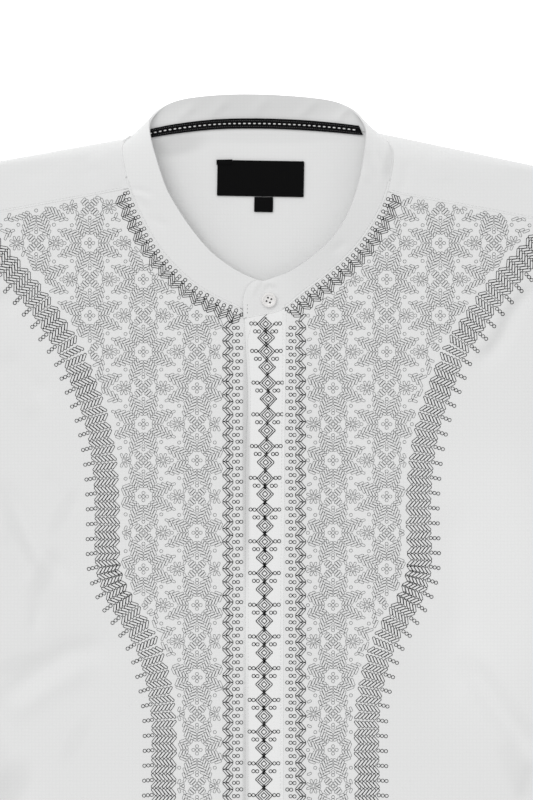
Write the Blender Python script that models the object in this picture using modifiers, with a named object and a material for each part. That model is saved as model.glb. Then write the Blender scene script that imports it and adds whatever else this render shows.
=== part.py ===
"""Formal shirt with a band collar, laid flat with its front up. Metres, +Z up, +Y towards the collar."""

from math import cos, pi, radians, sin, sqrt

import bmesh
import bpy
import numpy as np
from mathutils import Matrix, Vector

# Tables and driving dimensions are in millimetres. X runs from the centre front, Y from the back neck seam.
MM = 0.001
CLOTH = 1.2
BAND_WALL = 1.5
TRIM_WALL = 1.0
SEAM_GAP = 0.3
NECK_GAP = 0.4
FLAT_TOP = 3.0  # top of the front where it lies pressed on the back
LAP = 1.9  # rise of the left front over the right one, up to LAP_X and fading over LAP_FADE
LAP_X = 18.0
LAP_FADE = 27.0

BAND_TOP_Y = 22.4
HEM_Y = -768.0
HEM_SIDE_RISE = 62.0
HEM_CURVE_X = (90.0, 284.0)
NECK_Y = -(BAND_TOP_Y + HEM_Y) / 2  # puts the middle of the laid shirt on the origin

SHOULDER_X = 235.0
SHOULDER_Y = {"left": -36.8, "right": -32.6}  # the wearer's left is at +X
UNDERARM_X = 280.0
ARMHOLE_DEPTH = 235.0
ARMHOLE_SCOOP = 16.0
WAIST_IN = 7.0
HEM_OUT = 4.0
YOKE_DROP = 35.0
YOKE_BACK_Y = -115.0
YOKE_SIDE_Y = -78.0
YOKE_HALF_DROP = 0.4

NECK_CENTRE = (-5.5, -61.0)
NECK_FALL = 55.0  # distance over which the front sinks away from the collar seam
BILLOW = 3.6  # air under the middle of each front
EDGE_EASE = 62.0

# The band's cross sections, from its end under the lap, round the back, to its rounded end on top.
# Each row: name, then x, y and height of the neck seam, then x, y and height of the top edge (outer face).
BAND_SECTIONS = (
    ("under end", 13.8, -127.0, 6.3, 11.7, -105.6, 10.2),
    ("centre, under", 0.0, -129.4, 6.3, 0.0, -107.0, 10.4),
    ("placket side", -15.2, -126.3, 7.0, -9.0, -104.9, 11.2),
    ("low front", -32.4, -119.0, 8.2, -22.1, -98.3, 12.6),
    ("front", -53.1, -105.9, 9.6, -38.6, -85.9, 14.8),
    ("side front", -73.8, -83.8, 11.0, -54.2, -66.6, 17.2),
    ("below the yoke", -87.6, -58.7, 12.0, -65.2, -49.0, 18.8),
    ("yoke seam", -93.8, -43.1, 12.5, -69.8, -39.0, 19.5),
    ("below the shoulder", -97.6, -26.9, 12.8, -74.5, -24.8, 20.0),
    ("shoulder, front", -99.1, -16.6, 11.5, -78.7, -9.7, 18.5),
    ("shoulder", -97.7, -10.7, 7.8, -80.2, 0.0, 13.5),
    ("shoulder, back", -92.5, -7.4, 3.2, -78.7, 6.6, 8.5),
    ("back side", -80.7, -5.0, 0.4, -71.8, 13.0, 3.8),
    ("back", -62.8, -1.7, 0.0, -58.0, 18.8, 2.6),
    ("back middle", -34.5, 1.5, 0.0, -32.4, 21.9, 2.4),
    ("centre back", -5.5, 2.1, 0.0, -5.5, 22.4, 2.4),
    ("back middle", 24.2, 1.1, 0.0, 22.8, 20.9, 2.4),
    ("back", 50.4, -1.0, 0.0, 45.5, 18.1, 2.6),
    ("back side", 66.2, -2.8, 0.4, 58.7, 13.2, 4.2),
    ("shoulder, back", 76.6, -3.7, 3.0, 66.2, 6.9, 8.5),
    ("shoulder", 84.5, -9.7, 8.0, 69.9, -0.7, 14.5),
    ("shoulder, front", 88.0, -17.3, 11.5, 70.0, -7.6, 18.8),
    ("below the shoulder", 87.8, -26.9, 12.8, 69.0, -16.6, 20.0),
    ("yoke seam", 84.2, -45.2, 12.5, 65.2, -37.3, 19.6),
    ("below the yoke", 76.6, -63.5, 11.8, 59.3, -56.2, 18.4),
    ("side front", 62.1, -84.2, 10.8, 48.6, -75.6, 16.8),
    ("front", 44.9, -100.4, 9.6, 33.8, -89.7, 14.8),
    ("low front", 24.2, -116.6, 8.0, 17.9, -100.4, 12.6),
    ("placket side", 13.1, -125.6, 6.9, 8.3, -103.8, 11.0),
    ("centre, over", 0.0, -129.7, 6.3, -0.7, -107.0, 10.4),
    ("over end", -7.6, -131.1, 6.6, -6.2, -106.6, 10.9),
    ("over end, rounding", -12.1, -132.0, 6.9, -12.4, -111.1, 10.3),
    ("over end, edge", -15.0, -132.5, 7.1, -15.2, -119.4, 8.7),
)
SECTION_STEPS = 3
BAND_ACROSS = (0.0, 0.33, 0.67, 1.0)
YOKE_FIRST, YOKE_LAST = 7, 23  # rows of the two yoke seams on the front
UNDER_CENTRE, OVER_CENTRE = 1, 29  # rows at the centre front, on the lower and on the top layer
BACK_ROW = 20  # the lap lifts only what comes after it

# Where each of the yoke's rays ends, for the band's rows from one front yoke seam to the other.
# Each row: side, share of the yoke's front drop, or the height Y on the back; fold rows have neither.
YOKE_ENDS = (
    ("right", "front", 1.0),
    ("right", "front", YOKE_HALF_DROP),
    ("right", "fold", 0.0),
    ("right", "fold", 0.0),
    ("right", "fold", 0.0),
    ("right", "fold", 0.0),
    ("right", "back", YOKE_SIDE_Y),
    ("right", "back", YOKE_BACK_Y),
    ("middle", "back", YOKE_BACK_Y),
    ("left", "back", YOKE_BACK_Y),
    ("left", "back", YOKE_SIDE_Y),
    ("left", "fold", 0.0),
    ("left", "fold", 0.0),
    ("left", "fold", 0.0),
    ("left", "fold", 0.0),
    ("left", "front", YOKE_HALF_DROP),
    ("left", "front", 1.0),
)
YOKE_ALONG = (0.0, 0.06, 0.14, 0.25, 0.39, 0.55, 0.77, 1.0)
FOLD_FULL = 12.5  # height of the neck seam where the shoulder fold has turned fully to the front

# The edges of the placket: height Y, its fold edge's X, its seam's X.
PLACKET_EDGES = (
    (-120.0, -14.5, 13.8),
    (-161.0, -13.1, 13.7),
    (-189.0, -11.0, 13.3),
    (-217.0, -13.1, 12.9),
    (-368.0, -13.5, 12.0),
    (-768.0, -13.5, 11.7),
)
UNDERLAP_X = 10.0
PLACKET_ROWS, PLACKET_COLUMNS = 31, 4

# The largest folds of the front: from x, y to x, y, half width, height (a trough is below zero).
FOLDS = (
    ("from the left shoulder", 206, -98, 146, -166, 13, -2.3),
    ("beside it", 214, -128, 168, -196, 17, 1.6),
    ("right shoulder", -206, -104, -166, -130, 12, -1.8),
    ("right chest, short", -180, -158, -146, -192, 10, -1.5),
    ("right chest, long", -196, -226, -134, -314, 14, -2.2),
    ("right chest, ridge", -214, -250, -160, -340, 16, 1.5),
    ("right ribs", -214, -412, -112, -358, 13, -2.0),
    ("right ribs, ridge", -220, -372, -150, -350, 14, 1.4),
    ("left chest", 129, -262, 136, -364, 15, -1.4),
    ("left ribs", 136, -368, 198, -446, 14, -2.0),
    ("left ribs, ridge", 168, -352, 222, -418, 15, 1.8),
    ("left waist", 228, -470, 120, -520, 18, -2.2),
    ("right waist", -238, -486, -140, -548, 18, -2.0),
    ("left tail", 90, -560, 150, -690, 20, 2.2),
    ("right tail", -70, -540, -120, -700, 20, -2.0),
    ("right side", -190, -590, -216, -680, 16, 1.8),
)
FOLD_PAST = 0.3  # share of its length that a fold runs on past each end
FOLD_FADE = 0.45  # share of its length over which it fades there
FRONT_ROWS = 26
ARMHOLE_ROWS = 8
YOKE_SEAM_COLUMNS = 7
BACK_COLUMNS = 12

# Sleeve sections from the armhole to the cuff seam, relative to the shoulder point: outer edge x, y,
# inner edge x, y, fold radius of the edges, rise of the top between them.
SLEEVE_SECTIONS = (
    ("head", 0, 0, 45, -235, 1.5, 0.0),
    ("cap", 30, -7, 49, -238, 1.7, 1.6),
    ("cap", 64, -15, 52, -240, 1.9, 3.0),
    ("cap", 98, -24, 55, -242, 2.2, 4.2),
    ("cap", 132, -37, 58, -244, 2.5, 5.0),
    ("cap", 165, -57, 61, -247, 2.8, 5.6),
    ("upper arm", 196, -84, 66, -252, 3.0, 6.0),
    ("upper arm", 228, -113, 98, -277, 3.0, 6.0),
    ("above the elbow", 270, -151, 144, -306, 3.0, 5.6),
    ("elbow", 312, -189, 190, -335, 3.0, 5.2),
    ("forearm", 346, -220, 229, -359, 3.0, 5.0),
    ("forearm", 380, -250, 267, -381, 3.0, 5.0),
    ("forearm", 408, -275, 300, -400, 3.0, 5.0),
    ("pleats", 432, -297, 329, -416, 3.0, 5.2),
    ("pleats", 443, -307, 343, -422, 2.9, 4.6),
    ("cuff seam", 446, -316, 357, -423, 2.7, 3.0),
)
EDGE_STEPS = 4
# Sleeve folds, relative to the shoulder point: from x, y to x, y, half width, height.
SLEEVE_FOLDS = (
    ("from the underarm", 62, -226, 150, -86, 13, -2.6),
    ("from the underarm, ridge", 84, -232, 186, -122, 12, 2.4),
    ("below the cap", 40, -180, 92, -52, 14, 1.8),
    ("inner elbow", 176, -316, 262, -232, 13, -2.2),
    ("forearm", 262, -330, 340, -262, 12, 1.8),
    ("pleat", 352, -400, 300, -352, 7, 1.8),
    ("pleat", 376, -374, 326, -326, 7, -1.6),
)
CUFF_LENGTH = 65.0
CUFF_UNDER, CUFF_OVER = 0.52, 0.80  # shares of the cuff's width where its two ends lie
CUFF_TOP = 3.5
CUFF_NARROWER = 3.0  # than the sleeve's end
CUFF_BUTTON_IN = 0.09  # share of the cuff's width from its end to the button
SLIT_ROWS = 6
SLIT_COLUMN = 7  # of the sleeve's top columns, counted from its inner edge

LABEL = {"x": -3.1, "y": -35.9, "width": 60.0, "height": 24.8, "turn": -1.0}
SIZE_TAB = {"x": -1.0, "y": -53.9, "width": 13.0, "height": 10.4, "turn": -1.0}
LABEL_CORNER = 0.6
TAPE_WIDTH = 7.0
TAPE_ROWS = (12, 18)  # rows of the band where the tape starts and ends

BUTTON = {"radius": 5.2, "thickness": 2.4, "hole": 0.75, "spacing": 1.28, "turn": 20.0}
COLLAR_BUTTON_AT = (2.7, -119.9)

WHITE = (0.80, 0.80, 0.79, 1.0)
BLACK = (0.012, 0.012, 0.013, 1.0)


def clear_scene():
    for item in list(bpy.data.objects):
        bpy.data.objects.remove(item, do_unlink=True)


def collection(name):
    made = bpy.data.collections.new(name)
    bpy.context.scene.collection.children.link(made)
    return made


def material(name, colour, roughness):
    made = bpy.data.materials.new(name)
    made.use_nodes = True
    shader = made.node_tree.nodes["Principled BSDF"]
    shader.inputs["Base Color"].default_value = colour
    shader.inputs["Roughness"].default_value = roughness
    shader.inputs["Metallic"].default_value = 0.0
    return made


def ease(t):
    """0 below 0, 1 above 1 and smooth between."""
    t = min(max(t, 0.0), 1.0)
    return t * t * (3.0 - 2.0 * t)


def lerp(a, b, t):
    return tuple(p + (q - p) * t for p, q in zip(a, b))


def read_table(rows, y, column):
    """Value of a column at height y in a table whose rows go down."""
    heights = [row[0] for row in rows][::-1]
    return float(np.interp(y, heights, [row[column] for row in rows][::-1]))


def smooth_rows(rows, steps):
    """Points between the rows of a table, on a cubic through them, with `steps` per interval."""
    values = np.array([row[1:] for row in rows], float)
    slope = np.gradient(values, axis=0)
    slope[1:-1] = (values[2:] - values[:-2]) / 2
    out = []
    for i in range(len(values) - 1):
        for k in range(steps):
            t = k / steps
            out.append(
                (2 * t**3 - 3 * t**2 + 1) * values[i]
                + (t**3 - 2 * t**2 + t) * slope[i]
                + (3 * t**2 - 2 * t**3) * values[i + 1]
                + (t**3 - t**2) * slope[i + 1]
            )
    out.append(values[-1])
    return np.array(out)


def lap_rise(x):
    return LAP * (1.0 - ease((x - LAP_X) / LAP_FADE))


def side_of(x):
    return "left" if x > 0 else "right"


def armhole_x(y, side):
    """Half width of the body at the armhole, at height y."""
    t = min(max((SHOULDER_Y[side] - y) / ARMHOLE_DEPTH, 0.0), 1.0)
    return SHOULDER_X - ARMHOLE_SCOOP * sin(pi * t) * (1.0 - 0.2 * t) + (UNDERARM_X - SHOULDER_X) * t**3


def side_x(y, side):
    """Half width of the body below the underarm."""
    top = SHOULDER_Y[side] - ARMHOLE_DEPTH
    t = (top - y) / (top - HEM_Y - HEM_SIDE_RISE)
    return UNDERARM_X - WAIST_IN * sin(pi * min(t, 1.0)) + HEM_OUT * t


def half_width(y, side):
    low = y < SHOULDER_Y[side] - ARMHOLE_DEPTH
    return side_x(y, side) if low else armhole_x(y, side)


def hem_y(x):
    start, end = HEM_CURVE_X
    return HEM_Y + HEM_SIDE_RISE * ease((abs(x) - start) / (end - start))


def fold_height(folds, x, y):
    """Sum of soft straight folds that fade at their ends."""
    total = 0.0
    for _, x0, y0, x1, y1, width, height in folds:
        length = sqrt((x1 - x0) ** 2 + (y1 - y0) ** 2)
        ax, ay = (x1 - x0) / length, (y1 - y0) / length
        along = ((x - x0) * ax + (y - y0) * ay) / length
        off = (x - x0) * ay - (y - y0) * ax
        if -FOLD_PAST < along < 1.0 + FOLD_PAST and abs(off) < 3.0 * width:
            ends = ease((along + FOLD_PAST) / FOLD_FADE) * ease((1.0 + FOLD_PAST - along) / FOLD_FADE)
            total += height * ends * np.exp(-((off / width) ** 2))
    return total


def neck_rows(sections):
    """Angle, radius and seam height round the neck centre, for the front half of the band."""
    rows = []
    right = range(UNDER_CENTRE * SECTION_STEPS, (YOKE_FIRST + 1) * SECTION_STEPS + 1)
    left = range((YOKE_LAST - 1) * SECTION_STEPS, OVER_CENTRE * SECTION_STEPS + 1)
    for i in [*right, *left]:
        x, y = sections[i][0] - NECK_CENTRE[0], sections[i][1] - NECK_CENTRE[1]
        rows.append((np.arctan2(x, -y), sqrt(x * x + y * y), sections[i][2]))
    return np.array(sorted(rows))


def front_top(x, y, neck):
    """Height of the front's outer face, before the lap's rise."""
    side = side_of(x)
    dx, dy = x - NECK_CENTRE[0], y - NECK_CENTRE[1]
    angle, reach = np.arctan2(dx, -dy), sqrt(dx * dx + dy * dy)
    away = max(reach - np.interp(angle, neck[:, 0], neck[:, 1]), 0.0)
    rise = np.interp(angle, neck[:, 0], neck[:, 2]) - FLAT_TOP
    near = (1.0 + (away / NECK_FALL) ** 2) ** -1.5
    inside = ease((half_width(y, side) - abs(x)) / EDGE_EASE) * ease((y - hem_y(x)) / EDGE_EASE)
    body = ease(away / EDGE_EASE)
    soft = BILLOW + fold_height(FOLDS, x, y)
    return FLAT_TOP + inside * (rise * near + body * soft)


def sheet(name, points, wall, look, group, closed=False):
    """A cloth wall from a grid of points on its outer face. Solidify gives it its thickness inwards."""
    mesh = bpy.data.meshes.new(name)
    build = bmesh.new()
    rows = [[build.verts.new(Vector(p) * MM) for p in row] for row in points]
    count = len(rows[0])
    for a, b in zip(rows, rows[1:]):
        for j in range(count if closed else count - 1):
            k = (j + 1) % count
            build.faces.new((a[j], a[k], b[k], b[j]))
    build.to_mesh(mesh)
    build.free()
    made = bpy.data.objects.new(name, mesh)
    group.objects.link(made)
    made.location = (0.0, NECK_Y * MM, 0.0)
    made.data.materials.append(look)
    mesh.shade_smooth()
    thicken = made.modifiers.new("wall", "SOLIDIFY")
    thicken.thickness = wall * MM
    thicken.offset = -1.0
    return made


def band_points(section, lifted):
    """Points across the band, from the neck seam to its top edge."""
    x, y, z, tx, ty, tz = section
    seam = (x, y, max(z, 0.0) + (lap_rise(x) if lifted else 0.0))
    top = (tx, ty, tz + (lap_rise(x) if lifted else 0.0))
    return [lerp(seam, top, share) for share in BAND_ACROSS]


def make_band(sections, look, group):
    rows = [band_points(s, i > BACK_ROW * SECTION_STEPS) for i, s in enumerate(sections)]
    return sheet("collar_band", rows, BAND_WALL, look, group)


def beside_seam(section, gap):
    """Plan point next to the neck seam, `gap` away from the band."""
    x, y, _, tx, ty, _ = section
    length = sqrt((tx - x) ** 2 + (ty - y) ** 2)
    return x - (tx - x) / length * gap, y - (ty - y) / length * gap


def yoke_end(row, share):
    """Plan point where a ray of the yoke ends, with the share of the fold's height it has there."""
    side, part, value = row
    if side == "middle":
        return NECK_CENTRE[0], value
    sign = 1.0 if side == "left" else -1.0
    half = FLAT_TOP / 2
    if part == "fold":
        y = SHOULDER_Y[side] - half * (1.0 - sqrt(max(1.0 - (2.0 * share - 1.0) ** 2, 0.0)))
    elif part == "front":
        y = SHOULDER_Y[side] - half - (YOKE_DROP - half) * value
    else:
        y = value
    return sign * armhole_x(y, side), y


def make_yoke(sections, neck, look, group):
    """Rays from the neck seam to the armholes and the back seam, turning over both shoulders."""
    first = YOKE_FIRST * SECTION_STEPS
    rows = []
    for i in range(first, YOKE_LAST * SECTION_STEPS + 1):
        at = (i - first) / SECTION_STEPS
        k = min(int(at), len(YOKE_ENDS) - 2)
        share = min(max(sections[i][2], 0.0) / FOLD_FULL, 1.0)
        end = lerp(yoke_end(YOKE_ENDS[k], share), yoke_end(YOKE_ENDS[k + 1], share), at - k)
        start = beside_seam(sections[i], NECK_GAP)
        row = []
        for t in YOKE_ALONG:
            x, y = lerp(start, end, t)
            row.append((x, y, front_top(x, y, neck) * share))
        rows.append(row)
    return sheet("yoke", rows[::-1], CLOTH, look, group)


def coons(top, bottom, left, right):
    """Grid of plan points inside four borders. top and bottom run left to right, left and right down."""
    rows = []
    for i in range(len(left)):
        v = i / (len(left) - 1)
        row = []
        for j in range(len(top)):
            u = j / (len(top) - 1)
            point = []
            for axis in (0, 1):
                edges = (1 - v) * top[j][axis] + v * bottom[j][axis]
                edges += (1 - u) * left[i][axis] + u * right[i][axis]
                corner = (1 - u) * ((1 - v) * top[0][axis] + v * bottom[0][axis])
                corner += u * ((1 - v) * top[-1][axis] + v * bottom[-1][axis])
                point.append(edges - corner)
            row.append(tuple(point))
        rows.append(row)
    return rows


def outer_edge(top_y, side, sign):
    """The armhole and side seam from height top_y to the hem, as rows of the front and back."""
    under = SHOULDER_Y[side] - ARMHOLE_DEPTH
    low = HEM_Y + HEM_SIDE_RISE
    points = []
    for i in range(FRONT_ROWS + 1):
        if i <= ARMHOLE_ROWS:
            y = top_y + (under - top_y) * i / ARMHOLE_ROWS
        else:
            y = under + (low - under) * (i - ARMHOLE_ROWS) / (FRONT_ROWS - ARMHOLE_ROWS)
        points.append((sign * half_width(y, side), y))
    return points


def front_grid(sections, side, edge):
    """Plan grid of one front, from its centre edge to its side."""
    sign = 1.0 if side == "left" else -1.0
    if side == "left":
        order = range(OVER_CENTRE * SECTION_STEPS, YOKE_LAST * SECTION_STEPS - 1, -1)
    else:
        order = range(0, YOKE_FIRST * SECTION_STEPS + 1)
    neck = [beside_seam(sections[i], NECK_GAP) for i in order]
    start_x = edge[0][0]
    top = [p for p in neck if sign * (p[0] - start_x) > 1.0]
    before = [p for p in neck if sign * (p[0] - start_x) <= 1.0][-1]
    share = (start_x - before[0]) / (top[0][0] - before[0])
    top.insert(0, lerp(before, top[0], share))
    corner_y = SHOULDER_Y[side] - YOKE_DROP - SEAM_GAP
    start = (top[-1][0], top[-1][1] - SEAM_GAP)
    top[-1] = start
    end = (sign * armhole_x(corner_y, side), corner_y)
    for k in range(1, YOKE_SEAM_COLUMNS + 1):
        top.append(lerp(start, end, k / YOKE_SEAM_COLUMNS))
    right = outer_edge(corner_y, side, sign)
    left = []
    for i, (edge_x, _) in enumerate(edge):
        left.append((edge_x, top[0][1] + (HEM_Y - top[0][1]) * i / FRONT_ROWS))
    span = end[0] - top[0][0]
    bottom = []
    for point in top:
        x = left[-1][0] + (right[-1][0] - left[-1][0]) * (point[0] - top[0][0]) / span
        bottom.append((x, hem_y(x)))
    return coons(top, bottom, left, right)


def lift(grid, neck, lifted):
    """Heights for a plan grid on the front."""
    rows = []
    for row in grid:
        rows.append([(x, y, front_top(x, y, neck) + (lap_rise(x) if lifted else 0.0)) for x, y in row])
    return rows


def placket_seam(top_y):
    """The placket's seam edge as front rows, with the seam gap."""
    rows = []
    for i in range(FRONT_ROWS + 1):
        y = top_y + (HEM_Y - top_y) * i / FRONT_ROWS
        rows.append((read_table(PLACKET_EDGES, y, 2) + SEAM_GAP, y))
    return rows


def make_fronts(sections, neck, look, group):
    right = front_grid(sections, "right", [(UNDERLAP_X, 0.0)] * (FRONT_ROWS + 1))
    sheet("front_right", [row[::-1] for row in lift(right, neck, False)][::-1], CLOTH, look, group)
    left = front_grid(sections, "left", placket_seam(PLACKET_EDGES[0][0]))
    sheet("front_left", lift(left, neck, True)[::-1], CLOTH, look, group)


def neck_y_at(sections, x):
    """Height Y of the top layer's neck seam at x, near the centre front."""
    low = sections[(OVER_CENTRE - 2) * SECTION_STEPS :]
    return float(np.interp(x, low[::-1, 0], low[::-1, 1]))


def make_placket(sections, neck, look, group):
    rows = []
    _, fold_x, seam_x = PLACKET_EDGES[0]
    for i in range(PLACKET_ROWS + 1):
        v = i / PLACKET_ROWS
        row = []
        for j in range(PLACKET_COLUMNS + 1):
            u = j / PLACKET_COLUMNS
            top = neck_y_at(sections, fold_x + (seam_x - fold_x) * u) - NECK_GAP
            y = top + (HEM_Y - top) * v
            left = read_table(PLACKET_EDGES, y, 1)
            x = left + (read_table(PLACKET_EDGES, y, 2) - left) * u
            row.append((x, y, front_top(x, y, neck) + LAP))
        rows.append(row)
    return sheet("front_placket", rows[::-1], LAP - SEAM_GAP, look, group)


def make_back(look, group):
    """The back panel, flat on the surface, below the yoke."""
    top_y = YOKE_BACK_Y - SEAM_GAP
    left = outer_edge(top_y, "right", -1.0)
    right = outer_edge(top_y, "left", 1.0)
    shares = [k / BACK_COLUMNS for k in range(BACK_COLUMNS + 1)]
    top = [lerp(left[0], right[0], share) for share in shares]
    bottom = [lerp(left[-1], right[-1], share) for share in shares]
    bottom = [(x, hem_y(x)) for x, _ in bottom]
    grid = coons(top, bottom, left[::2], right[::2])
    return sheet("back_panel", [[(x, y, 0.0) for x, y in row] for row in grid], CLOTH, look, group)


def sleeve_shares(side):
    """Shares of the armhole, from the underarm up, where the body's pieces have their points."""
    under = SHOULDER_Y[side] - ARMHOLE_DEPTH
    corner = SHOULDER_Y[side] - YOKE_DROP - SEAM_GAP / 2
    front = [under + (corner - under) * k / ARMHOLE_ROWS for k in range(ARMHOLE_ROWS + 1)]
    front.append(yoke_end((side, "front", YOKE_HALF_DROP), 1.0)[1])
    rows = ARMHOLE_ROWS // 2
    back = [under + (YOKE_BACK_Y - under) * k / rows for k in range(rows + 1)] + [YOKE_SIDE_Y]
    return [[(y - under) / ARMHOLE_DEPTH for y in heights] + [1.0] for heights in (front, back)]


def sleeve_ring(section, side, head):
    """One closed ring of a sleeve: flat bottom, two folded edges, soft top."""
    ox, oy, ix, iy, radius, rise = section
    sign = 1.0 if side == "left" else -1.0
    base_x, base_y = SHOULDER_X + SEAM_GAP, SHOULDER_Y[side]
    outer, inner = (base_x + ox, base_y + oy), (base_x + ix, base_y + iy)
    width = sqrt((ox - ix) ** 2 + (oy - iy) ** 2)
    front, back = sleeve_shares(side)
    path = []
    for share in back:
        path.append((min(max(width * share, radius), width - radius), 0.0, 0.0))
    for k in range(1, EDGE_STEPS):
        turn = pi * (k / EDGE_STEPS) - pi / 2
        path.append((width - radius + radius * cos(turn), radius + radius * sin(turn), 0.0))
    for share in front[::-1]:
        path.append((min(max(width * share, radius), width - radius), 2 * radius, sin(pi * share)))
    for k in range(1, EDGE_STEPS):
        turn = pi * (k / EDGE_STEPS) + pi / 2
        path.append((radius + radius * cos(turn), radius + radius * sin(turn), 0.0))
    ring = []
    for along, z, soft in path:
        x, y = lerp(inner, outer, along / width)
        chord = base_x + (UNDERARM_X - SHOULDER_X) * (base_y - y) / ARMHOLE_DEPTH
        x += head * (armhole_x(y, side) + SEAM_GAP - chord)
        folds = fold_height(SLEEVE_FOLDS, x - base_x, y - base_y)
        z += soft * (rise + folds * min(rise / 5.0, 1.0))
        ring.append((sign * x, y, z))
    return ring if side == "left" else ring[::-1]


def make_sleeve(side, look, group):
    rings = []
    sections = smooth_rows(SLEEVE_SECTIONS, 1)
    for i, section in enumerate(sections):
        rings.append(sleeve_ring(section, side, max(1.0 - i / 5.0, 0.0)))
    sheet("sleeve_" + side, rings, CLOTH, look, group, closed=True)
    return rings


def top_column(ring, side, column):
    """A point on the soft top of a sleeve ring, counted from the inner edge."""
    front, back = sleeve_shares(side)
    k = len(back) + EDGE_STEPS - 1 + len(front) - 1 - column
    return ring[k] if side == "left" else ring[len(ring) - 1 - k]


def make_slit_strip(side, rings, look, group):
    """The strip on the sleeve's slit, two of the sleeve's columns wide, moved out from its points."""
    out = SEAM_GAP + CLOTH
    rows = []
    for ring in rings[-SLIT_ROWS:]:
        row = [top_column(ring, side, SLIT_COLUMN + k) for k in range(3)]
        rows.append([(x, y, z + out) for x, y, z in (row if side == "left" else row[::-1])])
    return sheet("sleeve_placket_" + side, rows[::-1], CLOTH, look, group)


def make_cuff(side, look, group):
    """A strip round the wrist with overlapped ends, and the frame it lies in."""
    section = SLEEVE_SECTIONS[-1]
    sign = 1.0 if side == "left" else -1.0
    base = np.array((SHOULDER_X + SEAM_GAP, SHOULDER_Y[side]))
    outer, inner = base + np.array(section[1:3]), base + np.array(section[3:5])
    across = (outer - inner) / np.linalg.norm(outer - inner)
    down = np.array((-across[1], across[0])) * -1.0
    width = float(np.linalg.norm(outer - inner)) - CUFF_NARROWER
    corner = inner + across * CUFF_NARROWER / 2 + down * SEAM_GAP
    low = CUFF_TOP / 2
    high = (CUFF_TOP + BAND_WALL + SEAM_GAP) / 2
    path = [(width * CUFF_UNDER + (width - low - width * CUFF_UNDER) * k / 4, CUFF_TOP) for k in range(5)]
    for k in range(1, EDGE_STEPS):
        turn = pi / 2 - pi * k / EDGE_STEPS
        path.append((width - low + low * cos(turn), low + low * sin(turn)))
    path += [(width - low + (high - width + low) * k / 6, 0.0) for k in range(7)]
    for k in range(1, EDGE_STEPS):
        turn = -pi / 2 - pi * k / EDGE_STEPS
        path.append((high + high * cos(turn), high + high * sin(turn)))
    path += [(high + (width * CUFF_OVER - high) * k / 6, 2 * high) for k in range(7)]
    rows = []
    for k in range(4):
        shift = corner + down * CUFF_LENGTH * k / 3
        row = [(*(shift + across * along), z) for along, z in path]
        rows.append([(sign * x, y, z) for x, y, z in row])
    sheet("cuff_" + side, rows if side == "right" else rows[::-1], BAND_WALL, look, group)
    centre = corner + down * CUFF_LENGTH / 2 + across * width * (CUFF_OVER - CUFF_BUTTON_IN)
    return sign * centre[0], centre[1], 2 * high


def plate(name, size, wall, look, group):
    """A small woven label: a rounded plate on the yoke's inner face."""
    outline = bpy.data.curves.new(name, "CURVE")
    outline.dimensions = "2D"
    outline.fill_mode = "BOTH"
    outline.extrude = wall / 2 * MM
    line = outline.splines.new("POLY")
    points = []
    for sx, sy, start in ((1, 1, 0), (-1, 1, 90), (-1, -1, 180), (1, -1, 270)):
        for k in range(3):
            turn = radians(start + 45 * k)
            points.append(
                (
                    sx * (size["width"] / 2 - LABEL_CORNER) + LABEL_CORNER * cos(turn),
                    sy * (size["height"] / 2 - LABEL_CORNER) + LABEL_CORNER * sin(turn),
                )
            )
    line.points.add(len(points) - 1)
    for place, (x, y) in zip(line.points, points):
        place.co = (x * MM, y * MM, 0.0, 1.0)
    line.use_cyclic_u = True
    source = bpy.data.objects.new(name + "_outline", outline)
    group.objects.link(source)
    graph = bpy.context.evaluated_depsgraph_get()
    mesh = bpy.data.meshes.new_from_object(source.evaluated_get(graph))
    bpy.data.objects.remove(source, do_unlink=True)
    build = bmesh.new()
    build.from_mesh(mesh)
    bmesh.ops.remove_doubles(build, verts=build.verts, dist=0.01 * MM)
    build.to_mesh(mesh)
    build.free()
    made = bpy.data.objects.new(name, mesh)
    group.objects.link(made)
    made.data.materials.append(look)
    height = CLOTH + SEAM_GAP + wall / 2
    made.location = (size["x"] * MM, (size["y"] + NECK_Y) * MM, height * MM)
    made.rotation_euler = (0.0, 0.0, radians(size["turn"]))
    return made


def make_tape(sections, look, group):
    """The neck tape on the inner face, half on the band and half on the yoke."""
    rows = []
    half = TAPE_WIDTH / 2
    for i in range(TAPE_ROWS[0] * SECTION_STEPS, TAPE_ROWS[1] * SECTION_STEPS + 1):
        x, y, z, tx, ty, tz = sections[i]
        length = sqrt((tx - x) ** 2 + (ty - y) ** 2)
        ux, uy = (tx - x) / length, (ty - y) / length
        seam = max(z, 0.0)
        high = BAND_WALL + seam + (tz - seam) * half / length + NECK_GAP + TRIM_WALL
        low = CLOTH + seam + NECK_GAP + TRIM_WALL
        rows.append([(x - ux * half, y - uy * half, low), (x + ux * half, y + uy * half, high)])
    return sheet("neck_tape", rows[::-1], TRIM_WALL, look, group)


def button_mesh():
    """A turned button with a rim and four holes."""
    profile = (
        (0.0, 0.72),
        (0.52, 0.72),
        (0.66, 0.80),
        (0.76, 1.0),
        (0.90, 1.0),
        (1.0, 0.78),
        (1.0, 0.42),
        (0.84, 0.12),
        (0.5, 0.0),
        (0.0, 0.0),
    )
    mesh = bpy.data.meshes.new("button")
    build = bmesh.new()
    radius, height = BUTTON["radius"] * MM, BUTTON["thickness"] * MM
    points = [build.verts.new((radius * r, 0.0, height * z)) for r, z in profile]
    for a, b in zip(points, points[1:]):
        build.edges.new((a, b))
    build.to_mesh(mesh)
    build.free()
    return mesh


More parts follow.
